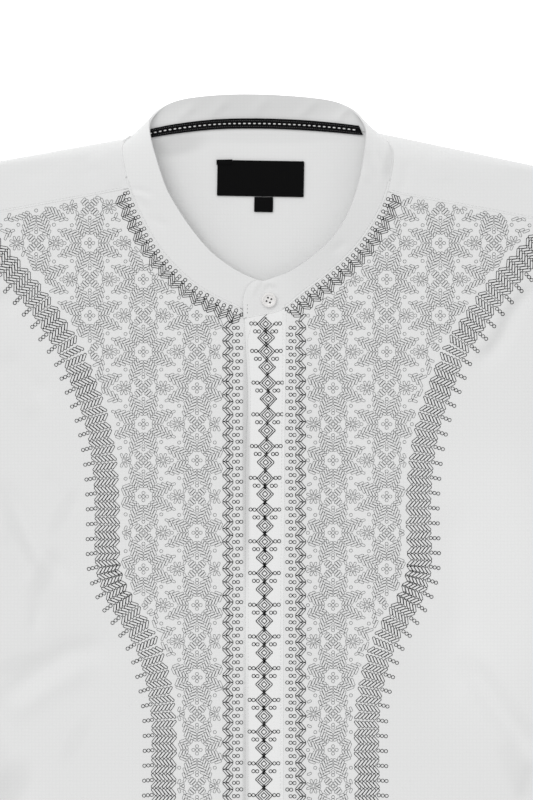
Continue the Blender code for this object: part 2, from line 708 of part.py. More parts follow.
def make_button(name, place, tilt, look, group, cutters):
    made = bpy.data.objects.new(name, button_mesh())
    group.objects.link(made)
    turn = made.modifiers.new("turn", "SCREW")
    turn.steps = turn.render_steps = 20
    turn.use_merge_vertices = True
    turn.merge_threshold = 0.00001
    made.data.materials.append(look)
    frame = Matrix.Translation(Vector(place) * MM) @ tilt @ Matrix.Rotation(radians(BUTTON["turn"]), 4, "Z")
    made.matrix_world = frame
    for k in range(4):
        angle = pi / 4 + k * pi / 2
        reach = BUTTON["spacing"] * sqrt(2.0) * MM
        cutter_mesh = bpy.data.meshes.new(name + "_hole")
        build = bmesh.new()
        bmesh.ops.create_cone(
            build,
            cap_ends=True,
            segments=8,
            radius1=BUTTON["hole"] * MM,
            radius2=BUTTON["hole"] * MM,
            depth=4 * BUTTON["thickness"] * MM,
        )
        build.to_mesh(cutter_mesh)
        build.free()
        cutter = bpy.data.objects.new(name + "_hole", cutter_mesh)
        cutters.objects.link(cutter)
        cutter.matrix_world = frame @ Matrix.Translation((reach * cos(angle), reach * sin(angle), 0.0))
        cutter.hide_render = True
        cutter.display_type = "WIRE"
        cut = made.modifiers.new("hole", "BOOLEAN")
        cut.object = cutter
        cut.solver = "EXACT"
    return made


def band_place(sections, x, y):
    """Height and tilt of the top layer of the band at a point near the centre front."""
    seam = sections[OVER_CENTRE * SECTION_STEPS]
    slope = (seam[5] - seam[2]) / (seam[4] - seam[1])
    height = seam[2] + LAP + slope * (y - seam[1])
    return (x, y + NECK_Y, height), Matrix.Rotation(np.arctan(slope), 4, "X")


def main():
    clear_scene()
    shirt = collection("formal_shirt")
    cutters = collection("cutters")
    white = {}
    names = (
        "band",
        "yoke",
        "front",
        "placket",
        "back",
        "sleeve",
        "cuff",
        "slit_strip",
    )
    for name in names:
        white[name] = material("white_cotton_" + name, WHITE, 0.85)
    tape = material("black_tape", BLACK, 0.8)
    label = material("black_label", BLACK, 0.7)
    resin = material("white_resin", (0.82, 0.82, 0.80, 1.0), 0.3)

    sections = smooth_rows(BAND_SECTIONS, SECTION_STEPS)
    neck = neck_rows(sections)
    make_band(sections, white["band"], shirt)
    make_yoke(sections, neck, white["yoke"], shirt)
    make_fronts(sections, neck, white["front"], shirt)
    make_placket(sections, neck, white["placket"], shirt)
    make_back(white["back"], shirt)
    make_tape(sections, tape, shirt)
    plate("neck_label", LABEL, TRIM_WALL, label, shirt)
    plate("size_tab", SIZE_TAB, TRIM_WALL, label, shirt)
    place, tilt = band_place(sections, *COLLAR_BUTTON_AT)
    rest = tilt @ Vector((0.0, 0.0, SEAM_GAP))
    place = tuple(Vector(place) + rest)
    make_button("collar_button", place, tilt, resin, shirt, cutters)
    for side in ("left", "right"):
        rings = make_sleeve(side, white["sleeve"], shirt)
        make_slit_strip(side, rings, white["slit_strip"], shirt)
        x, y, z = make_cuff(side, white["cuff"], shirt)
        place = (x, y + NECK_Y, z + SEAM_GAP)
        make_button("cuff_button_" + side, place, Matrix(), resin, shirt, cutters)


main()
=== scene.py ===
# Formal shirt with a band collar, laid flat with its front up: cloth, embroidery, stitches, labels and buttons.
import math
from contextlib import contextmanager

import bmesh
import bpy
import numpy as np
from mathutils import Matrix, Vector
from mathutils.bvhtree import BVHTree


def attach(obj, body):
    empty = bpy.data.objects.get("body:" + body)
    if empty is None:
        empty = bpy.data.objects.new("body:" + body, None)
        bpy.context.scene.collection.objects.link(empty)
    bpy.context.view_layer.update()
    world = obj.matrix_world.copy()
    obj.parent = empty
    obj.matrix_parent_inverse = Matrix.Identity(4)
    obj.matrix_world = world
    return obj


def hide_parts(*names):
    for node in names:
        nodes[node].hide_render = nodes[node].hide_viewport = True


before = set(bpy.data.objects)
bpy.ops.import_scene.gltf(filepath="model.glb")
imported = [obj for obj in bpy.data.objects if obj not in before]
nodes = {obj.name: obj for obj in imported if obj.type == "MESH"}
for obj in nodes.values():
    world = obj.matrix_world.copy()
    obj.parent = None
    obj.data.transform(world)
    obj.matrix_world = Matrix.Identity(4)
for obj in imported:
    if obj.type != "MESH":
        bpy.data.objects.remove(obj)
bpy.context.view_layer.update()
mm = 0.001
pieces = {}
print("frame loaded:", len(nodes), "nodes")


# Small helpers for objects and meshes.
def addObject(name, data):
    made = bpy.data.objects.new(name, data)
    bpy.context.scene.collection.objects.link(made)
    return made


def addPiece(name, mesh, nodeName=None):
    # a visible piece on the shirt's one body, in place of a node if one is named
    piece = addObject(name, mesh)
    if nodeName:
        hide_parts(nodeName)
    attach(piece, "root")
    pieces[name] = piece
    return piece


@contextmanager
def edited(mesh):
    work = bmesh.new()
    work.from_mesh(mesh)
    yield work
    work.to_mesh(mesh)
    work.free()


# Camera: straight down, with a long lens, so that the cloth shows at one scale.
shot = {"x": 1.0, "y": 183.7, "clothHeight": 10.0, "tall": 552.0, "distance": 3200.0, "sensor": 36.0}


def placeCamera():
    data = bpy.data.cameras.new("shotCamera")
    data.sensor_width = shot["sensor"]
    data.lens = shot["sensor"] * shot["distance"] / shot["tall"]
    data.clip_start, data.clip_end = 0.1, 50.0
    camera = addObject("shotCamera", data)
    camera.location = (shot["x"] * mm, shot["y"] * mm, (shot["distance"] + shot["clothHeight"]) * mm)
    bpy.context.scene.camera = camera


placeCamera()


# Small helpers for node trees. A socket gets a plain value, or is wired to a (node, output) pair.
def setSockets(tree, node, sockets):
    for key, value in sockets.items():
        if isinstance(value, tuple) and isinstance(value[0], bpy.types.Node):
            tree.links.new(value[0].outputs[value[1]], node.inputs[key])
        else:
            node.inputs[key].default_value = value
    return node


def addNode(tree, kind, sockets=None, **settings):
    node = tree.nodes.new(kind)
    for key, value in settings.items():
        setattr(node, key, value)
    return setSockets(tree, node, sockets or {})


def mathNode(tree, operation, *values):
    return (addNode(tree, "ShaderNodeMath", dict(enumerate(values)), operation=operation), 0)


def newTree(kind, name, inputs, outputs):
    tree = bpy.data.node_groups.new(name, kind)
    for label, socketKind, value in inputs:
        socket = tree.interface.new_socket(label, in_out="INPUT", socket_type="NodeSocket" + socketKind)
        if value is not None:
            socket.default_value = value
    for label, socketKind in outputs:
        tree.interface.new_socket(label, in_out="OUTPUT", socket_type="NodeSocket" + socketKind)
    return tree, addNode(tree, "NodeGroupInput"), addNode(tree, "NodeGroupOutput")


def newMaterial(name, sockets):
    material = bpy.data.materials.new(name)
    material.use_nodes = True
    tree = material.node_tree
    return material, tree, setSockets(tree, tree.nodes["Principled BSDF"], sockets)


def objectPlace(tree):
    return (addNode(tree, "ShaderNodeTexCoord"), "Object")


def mixNode(tree, low, high, factor):
    sockets = {"A": (*low, 1.0), "B": (*high, 1.0), "Factor": factor}
    return (addNode(tree, "ShaderNodeMix", sockets, data_type="RGBA"), "Result")


def noiseNode(tree, place, scale, detail, **more):
    sockets = {"Vector": place, "Scale": scale, "Detail": detail, **more}
    return (addNode(tree, "ShaderNodeTexNoise", sockets), 0)


def bumpNode(tree, height, distance, strength, **more):
    sockets = {"Height": height, "Distance": distance * mm, "Strength": strength, **more}
    return (addNode(tree, "ShaderNodeBump", sockets), "Normal")


def turnedPlace(tree, place, degrees):
    sockets = {"Vector": place, "Rotation": (0.0, 0.0, math.radians(degrees))}
    return (addNode(tree, "ShaderNodeMapping", sockets), "Vector")


# The shirting's fine check: small pads between sunk threads, with the single threads on top; its Shade is low on the
# sunk threads, where the finishes paint shade.
def makeWeave():
    group, given, made = newTree(
        "ShaderNodeTree",
        "shirtingWeave",
        [
            ("Place", "Vector", None),
            ("Check", "Float", 2.4 * mm),
            ("Thread", "Float", 0.5 * mm),
            ("Thread Relief", "Float", 0.3),
        ],
        [("Height", "Float"), ("Shade", "Float")],
    )
    wobble = noiseNode(group, (given, "Place"), 90.0, 1.0)
    axes = addNode(group, "ShaderNodeSeparateXYZ", {0: (given, "Place")})
    lines, threads = [], []
    for axis in (0, 1):
        bent = mathNode(group, "MULTIPLY_ADD", wobble, 0.6 * mm, (axes, axis))
        turns = mathNode(group, "DIVIDE", bent, (given, "Check"))
        wave = mathNode(group, "COSINE", mathNode(group, "MULTIPLY", turns, 2.0 * math.pi))
        lines.append(mathNode(group, "POWER", mathNode(group, "MULTIPLY_ADD", wave, 0.5, 0.5), 4.0))
        turns = mathNode(group, "DIVIDE", (axes, axis), (given, "Thread"))
        threads.append(mathNode(group, "SINE", mathNode(group, "MULTIPLY", turns, 2.0 * math.pi)))
    check = mathNode(group, "MAXIMUM", *lines)
    fine = mathNode(group, "MULTIPLY", mathNode(group, "MULTIPLY", *threads), (given, "Thread Relief"))
    height = mathNode(group, "MULTIPLY_ADD", check, -1.0, fine)
    setSockets(group, made, {"Height": height, "Shade": mathNode(group, "SUBTRACT", 1.0, check)})
    return group


# A soft patch of painted shade on the cloth's colour, or of painted light if its strength is below 0.
def makePaintedShade():
    group, given, made = newTree(
        "ShaderNodeTree",
        "softHollow",
        [*((label, "Vector", None) for label in ("Place", "Middle", "Turn", "Size")), ("Depth", "Float", 0.1)],
        [("Light", "Float")],
    )
    sources = {"Vector": "Place", "Location": "Middle", "Rotation": "Turn", "Scale": "Size"}
    sockets = {key: (given, label) for key, label in sources.items()}
    local = addNode(group, "ShaderNodeMapping", sockets, vector_type="TEXTURE")
    away = addNode(group, "ShaderNodeVectorMath", {0: (local, 0)}, operation="LENGTH")
    sockets = {"Value": (away, "Value"), "From Min": 0.25, "To Min": 1.0, "To Max": 0.0}
    fade = addNode(group, "ShaderNodeMapRange", sockets, interpolation_type="SMOOTHERSTEP")
    lost = mathNode(group, "MULTIPLY", (fade, 0), (given, "Depth"))
    setSockets(group, made, {"Light": mathNode(group, "SUBTRACT", 1.0, lost)})
    return group


weave = makeWeave()
paintedShadeGroup = makePaintedShade()

# Painted shade patches: the middle in mm, its turn in degrees, half length, half width, and how much light is painted
# away (below 0, painted light).
# painted shade inside the neck opening, beside the collar's sides and under the tape
yokePaintedShade = [
    ((-63, 360), 10.0, 32, 11, 0.13),
    ((-76, 333), -70.0, 36, 12, 0.07),
    ((-52, 300), -58.0, 34, 10, 0.04),
    ((76, 334), 73.0, 36, 11, 0.06),
    ((0, 365), 0.0, 80, 6, 0.04),
]
# painted shade on the band's inner back and beside its left fold
bandPaintedShade = [((-3, 391), 0.0, 112, 23, 0.13), ((88, 352), 70.0, 30, 7, 0.08)]
# painted shadow along the placket's left edge
placketPaintedShade = [((-13.4, 140), 90.0, 120, 4.4, 0.24), ((-13.6, -110), 90.0, 170, 4.0, 0.18)]
# painted shadow beside the placket's edge, painted shade in the folds, and one patch of painted light
bodyPaintedShade = [
    ((-13.6, 140), 90.0, 120, 3.6, 0.20),
    ((-13.8, -110), 90.0, 170, 3.2, 0.15),
    ((-140, 106), 60.0, 27, 8, 0.028),
    ((-154, 62), 65.0, 31, 10, 0.030),
    ((-172, 2), 20.0, 27, 9, 0.030),
    ((-131, -51), 60.0, 27, 9, 0.022),
    ((-178, -86), 60.0, 34, 18, 0.065),
    ((178, -76), -60.0, 36, 16, 0.040),
    # a broad patch of painted light on the wearer's left front
    ((150, 60), 90.0, 160, 64, -0.040),
]

# Each finish: the weave's turn in degrees, the cloth's colour, the darker colour of its sunk threads (painted shade),
# relief in mm, and painted shade patches.
shirting = (0.775, 0.778, 0.776), (0.752, 0.755, 0.754)
stiffened = (0.785, 0.788, 0.786), (0.768, 0.771, 0.770)
clothLooks = {
    "yoke": (0.0, (0.772, 0.775, 0.774), (0.758, 0.761, 0.760), 0.03, yokePaintedShade),
    "placket": (0.0, (0.825, 0.828, 0.826), (0.810, 0.813, 0.812), 0.02, placketPaintedShade),
    "body": (0.0, shirting[0], (0.756, 0.759, 0.758), 0.03, bodyPaintedShade),
    "sleeveLeft": (40.0, *shirting, 0.03, []),
    "sleeveRight": (-40.0, *shirting, 0.03, []),
    "band": (0.0, *stiffened, 0.02, bandPaintedShade),
    "cuffLeft": (52.0, *stiffened, 0.02, []),
    "cuffRight": (-52.0, *stiffened, 0.02, []),
}


def makeClothLook(name, degrees, ground, sunkShade, relief, paintedShadePatches):
    gloss = {"Roughness": 0.82, "Specular IOR Level": 0.25, "Sheen Weight": 0.12, "Sheen Roughness": 0.5}
    material, tree, shader = newMaterial(name, gloss)
    place = objectPlace(tree)
    threads = addNode(tree, "ShaderNodeGroup", {"Place": turnedPlace(tree, place, degrees)}, node_tree=weave)
    uneven = mathNode(tree, "MULTIPLY_ADD", noiseNode(tree, place, 14.0, 3.0), 0.5, -0.25)
    # the sunk threads take the darker colour, painted shade; the noise makes the tone uneven at random
    colour = mixNode(tree, sunkShade, ground, mathNode(tree, "ADD", (threads, "Shade"), uneven))
    # painted shade patches darken the colour; a patch with strength below 0 is painted light
    for (x, y), turn, long, wide, shadeStrength in paintedShadePatches:
        sockets = {
            "Place": place,
            "Middle": (x * mm, y * mm, 0.0),
            "Turn": (0.0, 0.0, math.radians(turn)),
            "Size": (long * mm, wide * mm, 1.0),
            "Depth": shadeStrength,
        }
        shade = addNode(tree, "ShaderNodeGroup", sockets, node_tree=paintedShadeGroup)
        sockets = {0: colour, "Scale": (shade, "Light")}
        colour = (addNode(tree, "ShaderNodeVectorMath", sockets, operation="SCALE"), "Vector")
    pucker = bumpNode(tree, noiseNode(tree, place, 130.0, 2.0), 0.15, 0.6)
    relieved = bumpNode(tree, (threads, "Height"), relief, 1.0, Normal=pucker)
    setSockets(tree, shader, {"Base Color": colour, "Normal": relieved})
    return material


looks = {name: makeClothLook("shirting_" + name, *look) for name, look in clothLooks.items()}
print("cloth finishes made:", len(looks))


sharpAngle = math.radians(50.0)  # edges that bend more than this are cut edges
flatAngle = math.radians(40.0)  # triangles that bend less than this make one quad


# A cloth piece is its solid's form, smoothed: one mesh of quads, sharp only at its cut edges.
def smoothCopy(nodeName, levels):
    mesh = nodes[nodeName].data.copy()
    mesh.name = nodeName + "Smooth"
    mesh.materials.clear()
    with edited(mesh) as work:
        bmesh.ops.remove_doubles(work, verts=work.verts, dist=0.001 * mm)
        bmesh.ops.join_triangles(
            work,
            faces=work.faces,
            angle_face_threshold=flatAngle,
            angle_shape_threshold=math.radians(178.0),
        )
        sharp = work.edges.layers.float.new("crease_edge")
        for edge in work.edges:
            if len(edge.link_faces) == 2 and edge.calc_face_angle() > sharpAngle:
                edge[sharp] = 1.0
    holder = addObject("holder", mesh)
    smooth = holder.modifiers.new("smooth", "SUBSURF")
    smooth.levels = smooth.render_levels = levels
    graph = bpy.context.evaluated_depsgraph_get()
    made = bpy.data.meshes.new_from_object(holder.evaluated_get(graph))
    bpy.data.objects.remove(holder)
    return made


lyingFace = 0.3  # upward part of an upper face's normal


def finerFace(mesh, lowestY):
    # one more cut of the upper faces that show above lowestY, so that small creases stay smooth
    with edited(mesh) as work:
        upper = [f for f in work.faces if f.normal.z > lyingFace and f.calc_center_median().y > lowestY]
        edges = list({edge for face in upper for edge in face.edges})
        bmesh.ops.subdivide_edges(work, edges=edges, cuts=1, use_grid_fill=True)


def fadeIn(t):
    t = np.clip(t, 0.0, 1.0)
    return t * t * (3.0 - 2.0 * t)


# Rise of the cloth from its creases. A crease is a name, its path in mm, half width and height (a trough is below 0).
def creaseRise(places, creases):
    total = np.zeros(len(places))
    for _, path, halfWidth, height in creases:
        corners = np.array(path, float)
        steps = np.linalg.norm(np.diff(corners, axis=0), axis=1)
        starts = np.concatenate([[0.0], np.cumsum(steps)])
        low, high = corners.min(0) - 3.0 * halfWidth, corners.max(0) + 3.0 * halfWidth
        near = np.nonzero(np.all((places > low) & (places < high), axis=1))[0]
        if not len(near):
            continue
        here = places[near]
        nearest = np.full(len(near), 1e9)
        along = np.zeros(len(near))
        for k, length in enumerate(steps):
            way = (corners[k + 1] - corners[k]) / length
            reach = (here - corners[k]) @ way
            held = np.clip(reach, 0.0, length)
            away = np.linalg.norm(here - corners[k] - held[:, None] * way, axis=1)
            better = away < nearest
            nearest = np.where(better, away, nearest)
            along = np.where(better, (starts[k] + held) / starts[-1], along)
        ends = fadeIn((along + 0.06) / 0.3) * fadeIn((1.06 - along) / 0.3)
        total[near] += height * ends * np.exp(-((nearest / halfWidth) ** 2))
    return total


lyingLevel = 3.2 * mm  # below it only the upper skin moves, so that the underside stays flat
lowestTop = 0.2 * mm  # no crease presses the upper skin below this
creaseGain = 1.7


def meshColumn(mesh, label):
    rows = np.zeros(len(mesh.vertices) * 3)
    mesh.vertices.foreach_get(label, rows)
    return rows.reshape(-1, 3)


def pressCreases(mesh, creases, lowest, gain):
    places = meshColumn(mesh, "co")
    upward = meshColumn(mesh, "normal")[:, 2]
    rise = creaseRise(places[:, :2] / mm, creases) * gain * mm
    heights = places[:, 2]
    free = ((heights > lyingLevel) | (upward > 0.2)) & (heights > lowest * mm)
    places[:, 2] = np.maximum(heights + np.where(free, rise, 0.0), np.minimum(heights, lowestTop))
    mesh.vertices.foreach_set("co", places.ravel())
    mesh.update()


def softEdges(mesh):
    # a cut edge stays crisp: the shading is smooth only across small angles
    mesh.shade_smooth()
    with edited(mesh) as work:
        for edge in work.edges:
            if len(edge.link_faces) == 2:
                edge.smooth = edge.calc_face_angle() < sharpAngle


# Wearer's right front (left in the picture).
rightFront = {
    "levels": 2,
    "gain": 2.4,
    "finerAbove": -96.0,
    "creases": [
        ("shoulder, short", [(-184, 257), (-170, 246)], 6, -0.7),
        ("chest, upper", [(-182, 216), (-166, 198), (-150, 184)], 7, -0.8),
        ("chest, upper ridge", [(-190, 204), (-172, 186), (-156, 174)], 8, 0.6),
        ("chest, long", [(-182, 130), (-169, 103), (-157, 77), (-131, 57)], 7, -1.2),
        ("chest, long ridge", [(-190, 112), (-174, 80), (-152, 52)], 8, 0.9),
        ("chest, fine", [(-153, 134), (-128, 108)], 4, -0.4),
        ("below it, fine", [(-181, 91), (-163, 57)], 4, -0.6),
        ("short, upright", [(-157, 43), (-159, 23)], 4, -0.6),
        ("ribs, curved", [(-180, -22), (-150, -1), (-137, 8), (-108, 14)], 8, -1.1),
        ("ribs, ridge", [(-180, -36), (-150, -15), (-118, 1)], 8, 0.8),
        ("towards the side", [(-192, -16), (-176, -56), (-170, -104)], 12, -1.4),
        ("underarm", [(-268, 108), (-236, 92), (-204, 66)], 8, -1.4),
        ("underarm ridge", [(-262, 92), (-230, 70), (-206, 44)], 8, 1.1),
        ("below the underarm", [(-262, 60), (-238, 10), (-226, -40)], 9, -1.2),
        ("side, long", [(-256, -70), (-242, -150), (-250, -240)], 9, -1.0),
        ("waist", [(-240, -132), (-200, -146), (-168, -172)], 8, -1.1),
        ("waist ridge", [(-236, -146), (-196, -162), (-160, -190)], 8, 0.8),
        ("tail, long", [(-96, -160), (-84, -230), (-98, -310)], 10, -0.9),
        ("tail, short", [(-150, -250), (-128, -300), (-120, -352)], 9, 0.9),
    ],
}

# Wearer's left front (right in the picture), which laps over the other.
leftFront = {
    "levels": 2,
    "gain": 2.1,
    "finerAbove": -96.0,
    "creases": [
        ("shoulder", [(190, 264), (176, 251), (170, 242), (165, 228), (158, 218), (144, 206)], 5.5, -1.3),
        ("shoulder, inner ridge", [(180, 266), (163, 244), (154, 228), (142, 214)], 7, 0.8),
        ("chest, upright", [(128, 114), (134, 62), (136, 4)], 12, -1.0),
        ("ribs", [(134, 10), (150, -12), (166, -37), (190, -66)], 8, -1.3),
        ("ribs, outer ridge", [(146, 14), (178, -28), (196, -50)], 8, 1.0),
        ("ribs, inner ridge", [(132, -10), (152, -36), (172, -60)], 8, 0.6),
        ("by the frame's edge", [(188, -66), (178, -98)], 7, -1.0),
        ("underarm", [(266, 112), (236, 90), (206, 74)], 8, -1.4),
        ("underarm ridge", [(262, 96), (236, 66), (214, 50)], 8, 1.1),
        ("below the underarm", [(260, 52), (240, 6), (232, -50)], 9, -1.2),
        ("side, long", [(254, -80), (240, -160), (252, -236)], 9, -1.0),
        ("waist", [(236, -120), (200, -140), (166, -158)], 8, -1.1),
        ("waist ridge", [(240, -138), (204, -156), (172, -176)], 8, 0.8),
        ("tail, long", [(110, -170), (94, -244), (106, -322)], 10, -0.9),
        ("tail, short", [(158, -262), (140, -306), (136, -350)], 9, 0.9),
    ],
}

placketCloth = {
    "levels": 3,
    "creases": [
        ("fold's soft edge", [(8.6, 236), (7.8, 180), (8.2, 100), (8.0, 0), (8.2, -92)], 1.4, 0.12),
        ("under the collar, left", [(-9, 243), (-4, 241)], 1.2, 0.2),
        ("under the collar, right", [(6, 240), (13, 243)], 1.2, 0.25),
    ],
}

yokeCloth = {
    "levels": 2,
    "creases": [
        ("patch by the collar", [(-118, 355), (-108, 342), (-101, 329)], 6, 0.6),
        ("beside the patch", [(-128, 352), (-118, 338)], 5, -0.4),
        ("right, faint", [(-176, 338), (-140, 344)], 6, -0.4),
        ("left by the collar", [(99, 350), (96, 334), (92, 324)], 3, -0.4),
        ("left, faint", [(118, 352), (124, 334)], 6, 0.4),
        ("left, far", [(168, 340), (196, 330)], 7, -0.5),
    ],
    "lowest": 4.5,
}

bandCloth = {
    "levels": 2,
    "gain": 2.3,
    "creases": [
        ("right, upper", [(-92, 330), (-85, 328), (-78, 325)], 1.7, -0.35),
        ("right, under it", [(-92, 326), (-84, 324), (-78, 320)], 1.6, 0.25),
        ("right, lower", [(-81, 310), (-74, 307), (-66, 303)], 1.9, -0.35),
        ("right, fine", [(-88, 320), (-80, 315)], 1.5, -0.2),
        ("left, long", [(70, 356), (74, 346), (81, 334)], 2.0, -0.4),
        ("left, beside it", [(75, 360), (80, 348), (85, 340)], 1.8, 0.3),
        ("left, short", [(66, 342), (71, 334)], 1.8, 0.3),
        ("left, lower", [(46, 286), (56, 292)], 3.0, -0.25),
        ("by the button", [(-2, 263), (3, 264.5), (8, 263)], 1.3, 0.35),
        ("over the button", [(-1, 259.6), (3, 261.6), (9, 260.6)], 1.0, -0.35),
        ("end, soft", [(-9, 256), (-7, 262), (-2, 266)], 1.6, 0.25),
        ("inner back, 1", [(-60, 378), (-48, 388)], 3.0, 0.5),
        ("inner back, 2", [(-38, 380), (-26, 392)], 3.0, 0.45),
        ("inner back, 3", [(-10, 380), (2, 393)], 3.2, 0.4),
        ("inner back, 4", [(22, 379), (36, 391)], 3.0, 0.45),
        ("inner back, 5", [(48, 376), (58, 386)], 2.6, 0.4),
    ],
}

backCloth = {"levels": 1, "creases": []}

leftSleeve = {
    "levels": 2,
    "creases": [
        ("from the underarm", [(292, 108), (330, 150), (376, 186)], 7, -1.3),
        ("from the underarm, ridge", [(300, 98), (344, 134), (392, 164)], 7, 1.1),
        ("cap", [(262, 296), (276, 258), (300, 226)], 8, -1.0),
        ("inner elbow", [(424, 30), (452, 66), (486, 92)], 7, -1.3),
        ("inner elbow, second", [(440, 14), (474, 44), (512, 62)], 6, 1.0),
        ("inner elbow, third", [(452, 0), (490, 22), (530, 34)], 6, -0.8),
        ("outer elbow", [(540, 148), (506, 122), (484, 116)], 8, 0.9),
        ("forearm", [(520, -28), (560, 14), (600, 40)], 6, 0.8),
        ("pleat by the cuff", [(648, 12), (620, 40)], 3.5, -1.0),
        ("pleat, second", [(632, -10), (604, 16)], 3.5, 1.0),
        ("pleat, third", [(618, -34), (592, -12)], 3.5, -0.8),
    ],
}
rightSleeve = {
    "levels": 2,
    "creases": [
        ("from the underarm", [(-290, 112), (-326, 148), (-370, 176)], 7, -1.2),
        ("from the underarm, ridge", [(-300, 100), (-348, 130), (-398, 152)], 7, 1.1),
        ("cap", [(-258, 300), (-280, 264), (-306, 240)], 8, -0.9),
        ("inner elbow", [(-420, 36), (-452, 62), (-490, 80)], 7, -1.2),
        ("inner elbow, second", [(-436, 18), (-470, 36), (-516, 52)], 6, 1.1),
        ("outer elbow", [(-530, 156), (-500, 136), (-478, 120)], 8, 0.8),
        ("forearm", [(-526, -22), (-566, 8), (-604, 44)], 6, -0.8),
        ("pleat by the cuff", [(-650, 16), (-622, 44)], 3.5, -1.0),
        ("pleat, second", [(-634, -6), (-606, 20)], 3.5, 1.0),
        ("pleat, third", [(-618, -30), (-592, -8)], 3.5, -0.7),
    ],
}

# Each piece: its name, node, slot, finish and settings. A strip on a sleeve takes the sleeve's own creases.
clothPieces = [
    ("backCloth", "back_panel", "cloth_back", "body", backCloth),
    ("yokeCloth", "yoke", "cloth_yoke", "yoke", yokeCloth),
    ("rightFrontCloth", "front_right", "cloth_front", "body", rightFront),
    ("leftFrontCloth", "front_left", "cloth_front", "body", leftFront),
    ("placketCloth", "front_placket", "cloth_placket", "placket", placketCloth),
    ("bandCloth", "collar_band", "cloth_band", "band", bandCloth),
    ("leftSleeveCloth", "sleeve_left", "cloth_sleeve", "sleeveLeft", leftSleeve),
    ("rightSleeveCloth", "sleeve_right", "cloth_sleeve", "sleeveRight", rightSleeve),
    ("leftSlitCloth", "sleeve_placket_left", "cloth_cuff", "sleeveLeft", leftSleeve),
    ("rightSlitCloth", "sleeve_placket_right", "cloth_cuff", "sleeveRight", rightSleeve),
    ("leftCuffCloth", "cuff_left", "cloth_cuff", "cuffLeft", {"levels": 3, "creases": []}),
    ("rightCuffCloth", "cuff_right", "cloth_cuff", "cuffRight", {"levels": 3, "creases": []}),
]

for name, nodeName, slotName, lookName, plan in clothPieces:
    mesh = smoothCopy(nodeName, plan["levels"])
    if "finerAbove" in plan:
        finerFace(mesh, plan["finerAbove"] * mm)
    pressCreases(mesh, plan["creases"], plan.get("lowest", 0.0), plan.get("gain", creaseGain))
    mesh.name = name
    mesh.materials.clear()
    mesh.materials.append(looks[lookName])
    softEdges(mesh)
    addPiece(name, mesh, nodeName)
    print("cloth piece made:", name, len(mesh.vertices), "points")


# What the stitches are laid on: the pieces' upper faces in one surface.
def joinedSurface(name, members):
    points, faces = [], []
    for member in members:
        start = len(points)
        points += [tuple(v.co) for v in member.data.vertices]
        faces += [tuple(start + i for i in f.vertices) for f in member.data.polygons]
    mesh = bpy.data.meshes.new(name)
    mesh.from_pydata(points, [], faces)
    return addObject(name, mesh)


wholeCloth = joinedSurface("wholeCloth", pieces.values())
trees = {name: BVHTree.FromPolygons(
    [v.co for v in piece.data.vertices], [tuple(f.vertices) for f in piece.data.polygons]
) for name, piece in pieces.items()}
sky = 0.3


def topPiece(x, y):
    # name of the uppermost cloth piece at a place in mm, and its height
    best = (None, -1.0)
    for name, tree in trees.items():
        hit = tree.ray_cast(Vector((x * mm, y * mm, sky)), Vector((0.0, 0.0, -1.0)))[0]
        if hit is not None and hit.z > best[1]:
            best = (name, hit.z)
    return best


# Geometry Nodes: a tree's inputs are set by their identifiers, and its result becomes a plain mesh.
def runTree(tree, source, name, values):
    holder = addObject(source.name, source)
    modifier = holder.modifiers.new(tree.name, "NODES")
    modifier.node_group = tree
    for item in tree.interface.items_tree:
        if item.item_type == "SOCKET" and item.in_out == "INPUT" and item.name in values:
            modifier[item.identifier] = values[item.name]
    graph = bpy.context.evaluated_depsgraph_get()
    mesh = bpy.data.meshes.new_from_object(holder.evaluated_get(graph), depsgraph=graph)
    bpy.data.objects.remove(holder)
    bpy.data.meshes.remove(source)
    mesh.name = name
    return mesh


rayAside = (0.4, 0.12)  # how far in mm the two rays that find the cloth stand to each side


def addDrop(tree, geometry, given):
    # every point keeps its own height above the cloth that lies under it, and spans a seam's gap
    axes = addNode(tree, "ShaderNodeSeparateXYZ", {0: (addNode(tree, "GeometryNodeInputPosition"), 0)})
    cloth = addNode(tree, "GeometryNodeObjectInfo", {"Object": (given, "Cloth")}, transform_space="RELATIVE")
    levels = []
    for sign in (1, -1):
        x, y = (mathNode(tree, "ADD", (axes, axis), sign * rayAside[axis] * mm) for axis in (0, 1))
        above = addNode(tree, "ShaderNodeCombineXYZ", {0: x, 1: y, 2: sky})
        sockets = {
            "Target Geometry": (cloth, "Geometry"),
            "Source Position": (above, 0),
            "Ray Direction": (0.0, 0.0, -1.0),
            "Ray Length": sky,
        }
        ray = addNode(tree, "GeometryNodeRaycast", sockets)
        levels.append((addNode(tree, "ShaderNodeSeparateXYZ", {0: (ray, "Hit Position")}), 2))
    up = addNode(tree, "ShaderNodeCombineXYZ", {2: mathNode(tree, "MAXIMUM", *levels)})
    return (addNode(tree, "GeometryNodeSetPosition", {"Geometry": geometry, "Offset": (up, 0)}), "Geometry")


def namedValue(tree, name, kind="FLOAT"):
    return (addNode(tree, "GeometryNodeInputNamedAttribute", {"Name": name}, data_type=kind), "Attribute")


def storedValue(tree, name, geometry, value):
    sockets = {"Name": name, "Geometry": geometry, "Value": value}
    return (addNode(tree, "GeometryNodeStoreNamedAttribute", sockets, data_type="FLOAT", domain="POINT"), "Geometry")


def addUnevenTurn(tree, given):
    # the points with their "turn" a little uneven, and that turn as a rotation
    lowest = mathNode(tree, "MULTIPLY", (given, "Unevenness"), -1.0)
    sockets = {2: lowest, 3: (given, "Unevenness"), "Seed": (given, "Seed")}
    turning = addNode(tree, "FunctionNodeRandomValue", sockets, data_type="FLOAT")
    turned = mathNode(tree, "ADD", namedValue(tree, "turn"), (turning, 1))
    points = storedValue(tree, "turn", (given, "Geometry"), turned)
    angle = addNode(tree, "ShaderNodeCombineXYZ", {2: namedValue(tree, "turn")})
    return points, (addNode(tree, "FunctionNodeEulerToRotation", {0: (angle, 0)}), 0)


